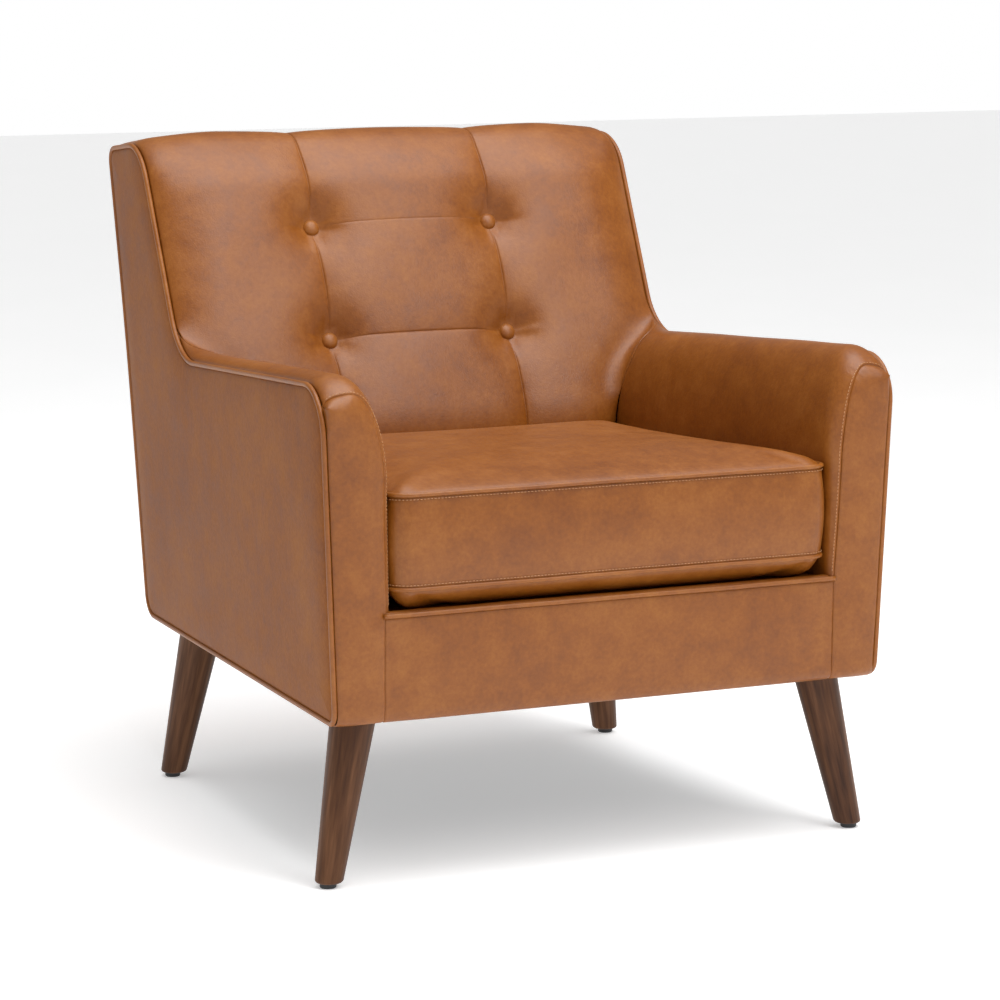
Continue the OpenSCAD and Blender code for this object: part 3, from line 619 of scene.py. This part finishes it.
def arm_front(label, side):
    """The panel on the front of an arm, between the seam and the side's welt, turned under at the bottom."""
    seam = arm_front_seam(side)
    top = seam[0, 2]
    curl = 13.0
    rail_x = -55.6
    heights = np.linspace(seam[-1, 2] - 8, BODY_Z + 1.0 + curl, 14)
    inner = np.vstack([seam, arm_frame(side, rail_x, front_lean(heights) + 0.6, heights)])
    tau = lengths(inner) / lengths(inner)[-1]
    edge_z = top - (top - inner[-1, 2]) * tau
    outer = arm_frame(side, edge_z * math.tan(LEAN) - 4.6, front_lean(edge_z) + 0.6, edge_z)
    corner = arm_edge(side, 0, np.linspace(math.radians(SEAM_ANGLE[side][0]), math.pi / 2, 24))
    for k, z in enumerate(edge_z):
        if z > corner[-1, 2]:
            outer[k, 1] = np.interp(-z, -corner[:, 2], corner[:, 1])
    v = np.concatenate([[0, 0.012, 0.028, 0.05, 0.085, 0.13], np.linspace(0.19, 0.81, 9),
                        [0.87, 0.915, 0.95, 0.972, 0.988, 1]])
    rows = []
    for a, b, here in zip(inner, outer, tau):
        width = np.linalg.norm(b - a)
        d = v * width
        line = a + (b - a) * v[:, None]
        flat = front_lean(line[:, 2])
        sunk = a[1] - front_lean(a[2])
        sunk_edge = b[1] - front_lean(b[2])
        line[:, 1] = flat + sunk * (1 - v) ** 4 + sunk_edge * v ** 4
        full = min(1.0, width / 40)
        line[:, 1] -= 2.6 * full * (4 * v * (1 - v)) ** 0.7
        line[:, 1] += groove(d) + 1.6 * np.exp(-(((width - d) / 1.8) ** 2))
        line[:, 1] += 0.22 * gathers(here * 260 + 1.5 * math.sin(here * 41), d)
        line[:, 1] += 0.5 * ripple(line[:, 0], line[:, 2], 130, 2 * side) * full
        rows.append(line)
    last = rows[-1]
    for angle in np.radians([18, 36, 54, 72, 90]):
        rows.append(last + np.array([0, curl * (1 - math.cos(angle)), -curl * math.sin(angle)]))
    rows.append(rows[-1] + np.array([0, 25, 0]))
    piece = cover(f"arm_facing_{label}", np.array(rows), LEATHER, (side * 320, 60, 420))
    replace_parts(piece, f"arm_front_{label}")


def arm_stitches(label, side):
    """Topstitching beside the seam at an arm's front."""
    rows = [j for j in range(2, len(ARM)) if ARM[j, 1] > 334]
    offset = 3.0
    path, normals = [], []
    for j in rows:
        turn = (ARM[j, 2] + ARM[j, 3]) / 2
        angle = math.radians(SEAM_ANGLE[side][j]) - offset / turn
        path.append(arm_edge(side, j, angle, -0.5))
        normals.append(arm_edge(side, j, angle, -1.5) - path[-1])
    stitches(f"arm_stitches_{label}", path, np.array(normals))


# ---- Back ----

def side_boundary():
    """The inside back's right edge: from its tail up the arm, and then up the welt and over the top."""
    side = RIGHT
    low = [tapered(side, -ARM_W + 0.5, y, z) for y, z in ((585, 398), (540, 398), (521, 402), (519, 430))]
    upwards = [j for j in reversed(range(len(ARM))) if ARM[j, 1] * REAR_FALL > 450]
    seam = [arm_surface(side, j, ARM_END[j]) for j in upwards]
    line = rounded([(-NOSE, ARM_Z, 1), (556, 567, 88), (686.5, 835, 75), (835, 820, 22), (832, 808, 1)],
                   inset=-3.5, closed=False, steps=24)
    line = line[line[:, 1] > seam[-1][2] + 4]
    line = line[line[:, 0] > 560]
    upper = leaning(side, -4.6, line[:, 0], line[:, 1])
    return np.vstack([low, seam]), np.vstack([seam[-1:], upper])


def over_back(lower, upper, meeting, step):
    """Where the back's rows lie along its profile, closest at the buttons, and the edge point of each row.

    The edge's lower line ends where its upper one starts, at the distance meeting.
    """
    total = BACK_S[-1]
    rows = graded(total, [0, 0.8, 2, 4], step)
    for mark in BUTTON_S:
        rows = rows[np.abs(rows - mark) > FINE[-1] + step * 0.4]
        rows = np.concatenate([rows, mark + FINE, mark - FINE[1:]])
    rows = np.sort(rows)
    share = np.interp(rows, [0, meeting, total], [0, 1, 2])
    edge = np.where((share < 1)[:, None],
                    along(lower, np.clip(share, 0, 1) * lengths(lower)[-1]),
                    along(upper, np.clip(share - 1, 0, 1) * lengths(upper)[-1]))
    return rows, edge


def spanned(rows, edge, centre, columns, x_fixed, roll, slack, shape):
    """A cover stretched from side to side: each row runs from the centre's profile and rolls off to the edge.

    roll is how far from the edge that starts. A slack of 0 rolls it off round, and of 1 more evenly.
    """
    out = []
    tangent = np.gradient(centre, axis=0)
    tangent /= np.linalg.norm(tangent, axis=1)[:, None]
    for k, s in enumerate(rows):
        end = edge[k]
        outer = x_fixed[-1] + (end[0] - x_fixed[-1]) * columns
        x = np.concatenate([x_fixed, outer[1:]])
        x = np.concatenate([-x[::-1], x[1:]])
        d = end[0] - np.abs(x)
        near = 1 - np.minimum(d / roll[k], 1)
        w = 1 - np.sqrt(np.clip(1 - near ** 2, 0, 1))
        tight = 1 - np.minimum(d / 24, 1)
        eased = 0.45 * (1 - np.sqrt(np.clip(1 - tight ** 2, 0, 1))) + 0.55 * near ** 1.5
        w = w * (1 - slack[k]) + eased * slack[k]
        yz = centre[k] + w[:, None] * (end[1:] - centre[k])
        out_way = left_of(tangent[k])
        lift = shape(x, s, d, w)
        yz = yz + lift[:, None] * out_way
        out.append(np.column_stack([x, yz]))
    return np.array(out)


BACK_LINE = spaced(rounded(BACK_CORNERS, closed=False, steps=24), 2)
BACK_S = lengths(BACK_LINE)
FRONT_PART = BACK_LINE[:, 0] < 700


def row_at(z):
    """Distance along the back's profile at which its front is at height z."""
    return float(np.interp(z, BACK_LINE[FRONT_PART, 1], BACK_S[FRONT_PART]))


BUTTON_S = [row_at(z) for z in BUTTON_ROWS]
# How far the pillows stand out of the drawn profile, how deep the leather lies at a button, and how deep the
# button itself lies
PUFF = 13.0
BUTTON_SEAT = -15.0
BUTTON_DEPTH = 9.2
# Distances from a seam or a button's row at which the back's mesh has lines
FINE = np.array([0, 0.6, 1.2, 2.1, 3.4, 5.4, 8.5])


def tufting(x, s, d, w):
    """How far the inside back stands out of its drawn profile."""
    a = np.abs(np.abs(x) - BUTTON_X)
    ends = smooth((s - BACK_S[0] - 60) / 60) * smooth((BACK_S[-1] - s - 8) / 50)
    seam = (5 * np.exp(-a / 18) + 6 * np.exp(-a / 55)) * (0.35 + 0.65 * smooth((row_at(846) - s) / 60))
    fade = smooth((s - row_at(770)) / 70)
    lift = (PUFF * (1 - fade) - 1.5 * fade) * np.ones_like(x)
    lift -= seam
    between = np.clip(1 - (np.abs(x) / BUTTON_X) ** 10, 0, 1) * (np.abs(x) < BUTTON_X)
    lift += ripple(x, s, 210, 0.4)
    for at, depth, line in zip(BUTTON_S, (3.4, 1.2), (0.6, 0.22)):
        lift -= depth * np.exp(-abs(s - at) / 17) * between
        lift -= line * groove(s - at) * between
    lift -= groove(a)
    for at in BUTTON_S:
        b = s - at
        r = np.hypot(a, b)
        angle = np.arctan2(b, np.abs(x) - BUTTON_X)
        folds = 0.07 * np.sin(7 * angle + at) * np.exp(-(((r - 24) / 9) ** 2))
        pull = np.exp(-((np.maximum(r - 11, 0) / 20) ** 1.1)) + folds
        lift += (BUTTON_SEAT - lift) * pull
    hold = (1 - w) ** 0.5 * smooth(d / 70) ** 0.35
    return lift * hold * (0.25 + 0.75 * ends)


def inside_back():
    """The tufted leather of the back, from its tail behind the cushion to its seam with the outside back."""
    lower, upper = side_boundary()
    # the arm's seam reaches the welt where the profile is at this height
    rows, edge = over_back(lower, upper, row_at(604), 8)
    centre = along(BACK_LINE, rows)
    beside = np.linspace(0, BUTTON_X - 12, 15)
    fixed = np.concatenate([beside, BUTTON_X - FINE[:0:-1], BUTTON_X + FINE, [BUTTON_X + 12]])
    columns = np.concatenate([np.linspace(0, 0.84, 16), [0.88, 0.915, 0.945, 0.967, 0.982, 0.992, 1]])
    roll = np.interp(rows, [0, row_at(450), row_at(560), row_at(604), row_at(700), row_at(830), BACK_S[-1]],
                     [18, 26, 44, 62, 84, 110, 110])
    slack = smooth((rows - row_at(700)) / 120)
    points = spanned(rows, edge, centre, columns, fixed, roll, slack, tufting)
    points[:, :, 1] -= groove(rows[-1] - rows)[:, None]
    piece = cover("inside_back_cover", points, LEATHER, (0, 760, 560))
    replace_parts(piece, "inside_back", "back_foam")


def outside_back():
    """The smooth panel behind the back, from its top to the underside."""
    line = spaced(rounded(REAR_CORNERS, closed=False, steps=20), 6)
    s = lengths(line)
    corners = [(836, 806, 1), (795, 560, 3000), (766, BODY_Z, 32), (700, BODY_Z, 1)]
    edge_line = rounded(corners, inset=-3.5, closed=False, steps=20)
    edge_points = leaning(RIGHT, -4.6, edge_line[:, 0], edge_line[:, 1])
    rows = graded(s[-1], [0, 0.8, 2, 4, 8], 16)
    edge = along(edge_points, rows / s[-1] * lengths(edge_points)[-1])
    centre = along(line, rows)
    columns = np.concatenate([np.linspace(0, 0.82, 14), [0.87, 0.91, 0.94, 0.965, 0.982, 0.992, 1]])

    def dome(x, at, d, w):
        ends = smooth((at + 2) / 30) * smooth((s[-1] - at) / 60)
        return (4.5 * smooth(d / 160) + 0.7 * ripple(x, at, 230, 1.7)) * ends + 1.5 * (1 - w) - groove(at)

    points = spanned(rows, edge, centre, columns, np.linspace(0, 120, 9), np.full(len(rows), 22.0),
                     np.zeros(len(rows)), dome)
    piece = cover("outside_back_cover", points, SIDE_LEATHER, (0, 600, 500))
    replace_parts(piece, "outside_back")


def covered_button(side, at, number):
    """A leather-covered button drawn into the back: a low dome with small gathers round its rim.

    at is the distance of its row along the back's profile.
    """
    here = along(BACK_LINE, [at])[0]
    ahead = along(BACK_LINE, [at + 4])[0]
    out = left_of(unit(ahead - here))
    facing = np.array([0, out[0], out[1]])
    upwards = np.cross(facing, [1, 0, 0])
    # radius and depth of each ring, behind the middle of the dome
    shape = [(2.6, 0.15), (5.2, 0.7), (7.6, 1.7), (9.5, 3.2), (10.8, 5.0), (11.4, 6.8),
             (11.2, 8.2), (10.2, 9.3), (8.4, 10.0), (4.0, 10.2)]
    centre = np.array([side * BUTTON_X, here[0], here[1]]) - facing * BUTTON_DEPTH
    turns = 40
    angle = np.arange(turns) * 2 * math.pi / turns
    points = [centre]
    for r, depth in shape:
        gather = 1 + 0.012 * np.cos(angle * 10) * smooth((r - 7) / 4)
        ring = np.outer(np.cos(angle) * r * gather, [1, 0, 0]) + np.outer(np.sin(angle) * r * gather, upwards)
        points += list(centre + ring - facing * depth)
    faces = [(0, 1 + k, 1 + (k + 1) % turns) for k in range(turns)]
    faces += grid_faces(len(shape), turns, closed_cols=True, start=1)
    faces.append(tuple(range(len(points) - turns, len(points))))
    piece = mesh_piece(f"covered_button_{number}", points, faces, WELT_LEATHER)
    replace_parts(piece, "back_buttons")


# ---- Front rail and deck ----

def rail_half(y):
    """Half the front rail's width between the arm fronts."""
    return SIDE_X - 54.8 * math.cos(TAPER) - np.asarray(y) * math.sin(TAPER)


def seat_half(y):
    """Half the width between the inside arms."""
    return SIDE_X - (ARM_W - 0.6) * math.cos(TAPER) - np.asarray(y) * math.sin(TAPER)


def across_rows(path, half, bulge):
    """A cover from side to side along a path of (y, z), bulging out of it and turned in at both ends."""
    path = np.asarray(path, float)
    tangent = np.gradient(path, axis=0)
    tangent /= np.linalg.norm(tangent, axis=1)[:, None]
    rows = []
    fine = np.array([0, 0.5, 1.2, 2.2, 4, 7]) / float(half(0))
    middle = np.linspace(-1 + fine[-1], 1 - fine[-1], 41)[1:-1]
    share = np.concatenate([-1 + fine, middle, 1 - fine[::-1]])
    for k, (y, z) in enumerate(path):
        w = float(half(y))
        x = w * share
        d = w - np.abs(x)
        lift = bulge(x, k / (len(path) - 1), d) - groove(d)
        out = left_of(tangent[k])
        rows.append(np.column_stack([x, y + lift * out[0], z + lift * out[1]]))
    return np.array(rows)


def front_rail():
    """The leather over the front rail, from under it up to the deck."""
    top = DECK_Z - 1
    path = [(46, BODY_Z + 0.6, 1), (0.6, BODY_Z + 0.6, 13), (front_lean(top) + 0.6, top, 1)]
    path = spaced(rounded(path, closed=False), 5)

    def bulge(x, t, d):
        return (2.6 * smooth(d / 60) * np.sin(math.pi * np.clip((t - 0.2) / 0.8, 0, 1)) ** 0.6
                + 0.5 * ripple(x, t * 130, 150, 3.1) * smooth(d / 30) * (t > 0.25))

    piece = cover("front_rail_leather", across_rows(path, rail_half, bulge), LEATHER, (0, 60, 260))
    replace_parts(piece, "front_rail_cover", "front_rail_foam")


def rail_welt():
    """The piping along the top of the front rail."""
    w = float(rail_half(0)) + 1.2
    x = np.linspace(-w, w, 120)
    y = -2.0 + 0.25 * ripple(x, 0 * x, 120, 5)
    path = np.column_stack([x, y, DECK_Z + 0.3 * ripple(x, 0 * x, 170, 6)])
    points, faces = tube(path, 3.0, (0, 0, 1))
    piece = mesh_piece("front_rail_piping", points, faces, WELT_LEATHER)
    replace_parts(piece, "front_rail_welt")


# How far back the deck's leather strip reaches
DECK_STRIP = 112


def deck():
    """The platform under the cushion: a leather strip at the front, stitched to plain cloth behind it."""
    lip = spline([(0.5, DECK_Z - 2), (1.6, DECK_Z + 1.5), (5, DECK_Z + 3.8), (11, DECK_Z + 3.6),
                  (20, DECK_Z + 1.4), (34, DECK_Z - 0.3), (70, DECK_Z - 0.5), (DECK_STRIP, DECK_Z - 0.5)], 40)

    def lip_bulge(x, t, d):
        return 0.4 * ripple(x, t * 100, 90, 1) * smooth(d / 40) * (1 - t) - 1.2 * (t >= 1)

    strip = cover("deck_front_strip", across_rows(lip, rail_half, lip_bulge), LEATHER, (0, 60, 250))
    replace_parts(strip, "deck_cover")

    cloth_z = DECK_Z - 0.7
    # the cloth turns up over the front of the lower back rail
    cloth_line = rounded([(DECK_STRIP, cloth_z, 1), (577, cloth_z, 8), (577, 397, 1)], closed=False)
    cloth_line = spaced(cloth_line, 10)

    def cloth_bulge(x, t, d):
        return 0.35 * ripple(x, t * 460, 120, 2) * smooth(d / 40) - 0.6 - 1.0 * (t <= 0)

    rows = across_rows(cloth_line, seat_half, cloth_bulge)
    cloth = cover("deck_rear_cloth", rows, DECK_CLOTH, (0, 300, 250), thickness=1.5)
    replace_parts(cloth, "deck_pad")
    x = np.linspace(-float(seat_half(DECK_STRIP)) + 4, float(seat_half(DECK_STRIP)) - 4, 60)
    stitches("deck_stitches", np.column_stack([x, x * 0 + DECK_STRIP - 3, x * 0 + DECK_Z + 0.1]), (0, 0, 1))


# ---- Cushion ----

# Half its width in front, its y from front to rear, and its corners' radius
CUSHION_HALF = 287.0
CUSHION_Y = (-4.0, 505.0)
CUSHION_CORNER = 24.0
LOW_SEAM = 355.0
TOP_SEAM = 465.5
# How much the upper seam falls towards the rear, for each millimetre
SEAT_FALL = 0.036


def cushion_plan(inset=0.0):
    """The cushion's outline at its seams, narrower at the rear."""
    front_y, rear_y = CUSHION_Y
    rear = CUSHION_HALF - (rear_y - front_y) * math.tan(TAPER)
    corners = [(-CUSHION_HALF, front_y), (CUSHION_HALF, front_y), (rear, rear_y), (-rear, rear_y)]
    return rounded([(x, y, CUSHION_CORNER) for x, y in corners], inset, steps=12)


def top_seam_z(y):
    return TOP_SEAM - SEAT_FALL * np.maximum(np.asarray(y), 0)


def low_seam_z(y):
    return np.full(len(y), LOW_SEAM)


def cushion_form():
    """The cushion before it is stuffed: a flat boxing, a low crown and a bottom that pulls in."""
    # how far in from the seams, height between the lower and the upper seam, and rise over that
    levels = [(60, 0, -28.2), (24, 0, -27.6), (12, 0, -22), (4.5, 0, -12), (1, 0, -4), (0, 0, 0)]
    levels += [(-5 * math.sin(math.pi * t), t, 0) for t in (0.1, 0.22, 0.36, 0.5, 0.64, 0.78, 0.9)]
    levels += [(0, 1, 0), (4, 1, 4.2), (11, 1, 8.6), (24, 1, 13.4), (45, 1, 17.2), (80, 1, 20)]
    levels.append((140, 1, 21.5))
    points = []
    for inset, t, rise in levels:
        plan = cushion_plan(inset)
        z = LOW_SEAM + (top_seam_z(plan[:, 1]) - LOW_SEAM) * t + rise
        points.append(np.column_stack([plan, z]))
    return np.vstack(points), capped(len(points), len(points[0]))


def apply_modifiers(piece):
    """Replaces the piece's mesh with what its modifiers make of it."""
    graph = bpy.context.evaluated_depsgraph_get()
    graph.update()
    made = bpy.data.meshes.new_from_object(piece.evaluated_get(graph))
    piece.modifiers.clear()
    old = piece.data
    piece.data = made
    bpy.data.meshes.remove(old)


def remesh(piece, voxel):
    """Gives a closed form an even mesh, with faces about voxel millimetres across."""
    even = piece.modifiers.new("voxels", "REMESH")
    even.mode = "VOXEL"
    even.voxel_size = voxel * MM
    apply_modifiers(piece)


def coordinates_of(piece):
    co = np.zeros(len(piece.data.vertices) * 3)
    piece.data.vertices.foreach_get("co", co)
    return co.reshape(-1, 3)


def move_to(piece, co):
    piece.data.vertices.foreach_set("co", co.ravel())
    piece.data.update()


def near_seams(points):
    """How close points in millimetres are to the cushion's two seams."""
    plan = spaced(cushion_plan(), 4, closed=True)
    nearest = np.full(len(points), 1e9)
    # a part of the points at a time, so that the table of gaps stays small
    batch = 2000
    for seam_z in (low_seam_z, top_seam_z):
        loop = np.column_stack([plan, seam_z(plan[:, 1])])
        for start in range(0, len(points), batch):
            part = points[start:start + batch]
            gap = np.linalg.norm(part[:, None] - loop[None], axis=2).min(1)
            nearest[start:start + batch] = np.minimum(nearest[start:start + batch], gap)
    return nearest


def stuff(piece, pins, pressure, cap, frames=20):
    """Swells a closed form by cloth simulation, with its seams held, and caps how far any point moves."""
    rest = coordinates_of(piece)
    group = piece.vertex_groups.new(name="seams")
    for k, weight in enumerate(pins):
        if weight > 0:
            group.add([k], float(weight), "REPLACE")
    cloth = piece.modifiers.new("cloth", "CLOTH")
    settings = cloth.settings
    settings.quality = 6
    settings.mass = 0.35
    settings.tension_stiffness = settings.compression_stiffness = 22
    settings.shear_stiffness = 9
    settings.bending_stiffness = 1.2
    settings.use_pressure = True
    settings.uniform_pressure_force = pressure
    settings.vertex_group_mass = "seams"
    settings.effector_weights.gravity = 0
    cloth.collision_settings.use_collision = False
    cloth.point_cache.frame_start, cloth.point_cache.frame_end = 1, frames
    for at in range(1, frames + 1):
        bpy.context.scene.frame_set(at)
    apply_modifiers(piece)
    bpy.context.scene.frame_set(1)
    moved = coordinates_of(piece) - rest
    far = np.linalg.norm(moved, axis=1)
    allowed = cap * MM * (1 - np.exp(-far / (cap * MM)))
    moved *= (allowed / np.maximum(far, 1e-9))[:, None]
    move_to(piece, rest + moved)
    piece.vertex_groups.clear()


def cushion():
    """The loose seat cushion, swollen by its filling between its seams and flat where it lies on the deck."""
    points, faces = cushion_form()
    piece = mesh_piece("seat_cushion_cover", points, faces, LEATHER, "seat_cushion")
    remesh(piece, 6)
    co = coordinates_of(piece) / MM - np.array([0, FRONT_Y / MM, 0])
    pins = np.clip(1.25 - near_seams(co) / 5.5, 0, 1)
    stuff(piece, pins, pressure=8.0, cap=14.0)
    co = coordinates_of(piece)
    # the rear stays flat behind the zipper
    co[:, 1] = np.minimum(co[:, 1], (CUSHION_Y[1] - 0.3) * MM + FRONT_Y)
    floor_z = (DECK_Z + 0.9) * MM
    co[:, 2] = np.maximum(co[:, 2], floor_z)
    y = (co[:, 1] - FRONT_Y) / MM
    half = (seat_half(y) - 1.2 + 6 * smooth((16 - y) / 20)) * MM
    co[:, 0] = np.clip(co[:, 0], -half, half)
    move_to(piece, co)
    smoother = piece.modifiers.new("smoother", "SMOOTH")
    smoother.factor, smoother.iterations = 0.4, 3
    finer = piece.modifiers.new("finer", "SUBSURF")
    finer.levels = finer.render_levels = 1
    apply_modifiers(piece)
    piece.data.shade_smooth()
    if not piece.data.materials:
        piece.data.materials.append(LEATHER)
    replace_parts(piece, "cushion_cover", "cushion_foam")


def cushion_welt(name, seam_z):
    """The piping round the cushion at one of its seams."""
    plan = spaced(cushion_plan(-0.4), 5, closed=True)
    wave = 0.4 * ripple(plan[:, 0], plan[:, 1], 140, 2.0)
    path = np.column_stack([plan, seam_z(plan[:, 1]) + wave])
    points, faces = tube(path, 2.7, (0, 0, 1), closed=True)
    return mesh_piece(name, points, faces, WELT_LEATHER, "seat_cushion")


def cushion_stitches(name, seam_z, rise):
    """Topstitching round the cushion's sides, at a height of rise over a seam."""
    plan = spaced(cushion_plan(-1.6), 4, closed=True)
    ahead = np.roll(plan, -1, 0) - np.roll(plan, 1, 0)
    out = np.column_stack([ahead[:, 1], -ahead[:, 0], np.zeros(len(ahead))])
    path = np.column_stack([plan, seam_z(plan[:, 1]) + rise])
    stitches(name, path, out, "seat_cushion", closed=True)


# The zipper's teeth: half their run from side to side, and their height
ZIP_HALF = 203
ZIP_Z = 378


def zipper_teeth():
    """Small coil-like teeth along the zipper's tape."""
    points, faces = [], []
    pitch, half = 2.6, (1.0, 0.8, 2.6)
    corners = np.array([(x, y, z) for x in (-1, 1) for y in (-1, 1) for z in (-1, 1)]) * half
    sides = [(0, 1, 3, 2), (4, 6, 7, 5), (0, 4, 5, 1), (2, 3, 7, 6), (0, 2, 6, 4), (1, 5, 7, 3)]
    for k, x in enumerate(np.arange(-ZIP_HALF, ZIP_HALF, pitch)):
        start = len(points)
        points += list(corners + (x, CUSHION_Y[1] + 1.3, ZIP_Z + 0.7 * (-1) ** k))
        faces += [tuple(start + c for c in face) for face in sides]
    mesh_piece("zipper_teeth_row", points, faces, ZIP_METAL, "seat_cushion")


# ---- Legs ----

# Radius at the floor and at the body, heights of both ends, and the middle of each leg there as x and y
LEG_FOOT_R, LEG_TOP_R = 16.5, 28.0
LEG_BASE_Z, LEG_TOP_Z = 6.0, 206.0
LEGS = {"front": ((350.4, 46.8), (307.7, 66.2)), "rear": ((318.9, 662.9), (283.4, 638.0))}


def leg(name, side, foot, top):
    """A splayed, tapered, turned leg, cut level and eased at its lower edge, with its grain along it."""
    foot, top = np.array([side * foot[0], foot[1], 0.0]), np.array([side * top[0], top[1], LEG_TOP_Z])
    ease = 3.6
    heights = np.concatenate([[0, 0.25, 0.8, 1.6, 2.6, 3.6], np.linspace(6, LEG_TOP_Z - LEG_BASE_Z, 26)])
    turns = 56
    angle = np.arange(turns) * 2 * math.pi / turns
    points = []
    for h in heights:
        z = LEG_BASE_Z + h
        centre = foot + (top - foot) * z / LEG_TOP_Z
        r = LEG_FOOT_R + (LEG_TOP_R - LEG_FOOT_R) * z / LEG_TOP_Z
        if h < ease:
            r -= ease * (1 - math.sqrt(1 - (1 - h / ease) ** 2))
        points += list(centre + np.column_stack([np.cos(angle) * r, np.sin(angle) * r, angle * 0]))
    piece = mesh_piece(f"{name}_turned", points, capped(len(heights), turns), WALNUT)
    along_leg = piece.data.attributes.new("along_leg", "FLOAT_VECTOR", "POINT")
    for vertex, stored in zip(piece.data.vertices, along_leg.data):
        share = vertex.co.z / MM / LEG_TOP_Z
        centre = Vector(foot + (top - foot) * share) * MM + Vector((0, FRONT_Y, 0))
        # each leg is cut from its own place in the wood
        stored.vector = vertex.co - centre + Vector((side * 0.3, foot[1] * MM, vertex.co.z))
    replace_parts(piece, name)


# ---- CAD nodes that stay ----

def dress_frame_nodes():
    """Gives each CAD node the material of its slot."""
    finishes = {
        "frame_wood": FRAME_WOOD, "leg_wood": WALNUT, "spring_steel": STEEL, "webbing": WEBBING, "foam": FOAM,
        "leather": LEATHER, "twine": TWINE, "cambric": CAMBRIC, "brass": BRASS, "glide_plastic": PLASTIC,
        "zip_tape": ZIP_TAPE, "zip_metal": ZIP_METAL,
    }
    for part in frame["record"]["subparts"]:
        node = frame["nodes"][part["node"]]
        node.data.materials.clear()
        node.data.materials.append(finishes[part["material_slot"]])


# ---- Studio ----

def camera():
    """A long lens at the photograph's viewing angle."""
    data = bpy.data.cameras.new("camera")
    data.lens, data.sensor_width = 134.5, 36
    cam = bpy.data.objects.new("camera", data)
    cam.location = (-1.9571, -4.3008, 1.1279)
    cam.rotation_euler = (math.radians(81.04), 0, math.radians(-24.924))
    bpy.context.scene.collection.objects.link(cam)
    bpy.context.scene.camera = cam


def area_light(name, place, target, size, power):
    data = bpy.data.lights.new(name, "AREA")
    data.shape = "DISK"
    data.size, data.energy = size, power
    lamp = bpy.data.objects.new(name, data)
    lamp.location = place
    lamp.rotation_euler = (Vector(target) - Vector(place)).to_track_quat("-Z", "Y").to_euler()
    bpy.context.scene.collection.objects.link(lamp)


def studio():
    """A plain pale floor, a soft sky like a studio's paper, and three area lights."""
    mesh = bpy.data.meshes.new("floor")
    size = 14.0
    corners = [(x * size, y * size, 0) for x, y in ((-1, -1), (1, -1), (1, 1), (-1, 1))]
    mesh.from_pydata(corners, [], [(0, 1, 2, 3)])
    glow = FLOOR.node_tree.nodes["Principled BSDF"]
    glow.inputs["Emission Color"].default_value = (1, 1, 1, 1)
    glow.inputs["Emission Strength"].default_value = 0.36
    mesh.materials.append(FLOOR)
    floor = bpy.data.objects.new("floor", mesh)
    bpy.context.scene.collection.objects.link(floor)
    world = bpy.data.worlds.new("studio")
    world.use_nodes = True
    tree = world.node_tree
    split = tree.nodes.new("ShaderNodeSeparateXYZ")
    tree.links.new(tree.nodes.new("ShaderNodeTexCoord").outputs["Generated"], split.inputs["Vector"])
    # white at the horizon, like the studio's paper, dim above it and light again overhead
    shade = ramp(tree, split.outputs["Z"], [
        (0.0, (1, 1, 1)), (0.1, (1, 1, 1)), (0.25, (0.22, 0.22, 0.22)), (0.7, (0.22, 0.22, 0.22)),
        (0.85, (1, 1, 1)),
    ])
    tree.links.new(shade, tree.nodes["Background"].inputs["Color"])
    bpy.context.scene.world = world
    middle = (0, 0, 0.45)
    area_light("key", (1.1, -3.2, 3.0), middle, 2.0, 46)
    area_light("top", (0.3, -0.7, 3.2), middle, 3.0, 84)
    area_light("fill", (-2.6, -3.0, 1.6), middle, 1.6, 2)
    bpy.context.scene.view_settings.view_transform = "Standard"


# ---- The chair ----

camera()
studio()
dress_frame_nodes()
for label, side in SIDES.items():
    side_panel(label, side)
    side_welt(label, side)
    arm_cover(label, side)
    arm_front(label, side)
    arm_stitches(label, side)
    for place, (foot, top) in LEGS.items():
        leg(f"leg_{place}_{label}", side, foot, top)
inside_back()
outside_back()
number = 0
for side in (LEFT, RIGHT):
    for at in BUTTON_S:
        number += 1
        covered_button(side, at, number)
front_rail()
rail_welt()
deck()
cushion()
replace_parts(cushion_welt("cushion_piping_top", top_seam_z), "cushion_welts")
cushion_welt("cushion_piping_bottom", low_seam_z)
cushion_stitches("cushion_stitches_top", top_seam_z, -5.2)
cushion_stitches("cushion_stitches_bottom", low_seam_z, 5.2)
zipper_teeth()
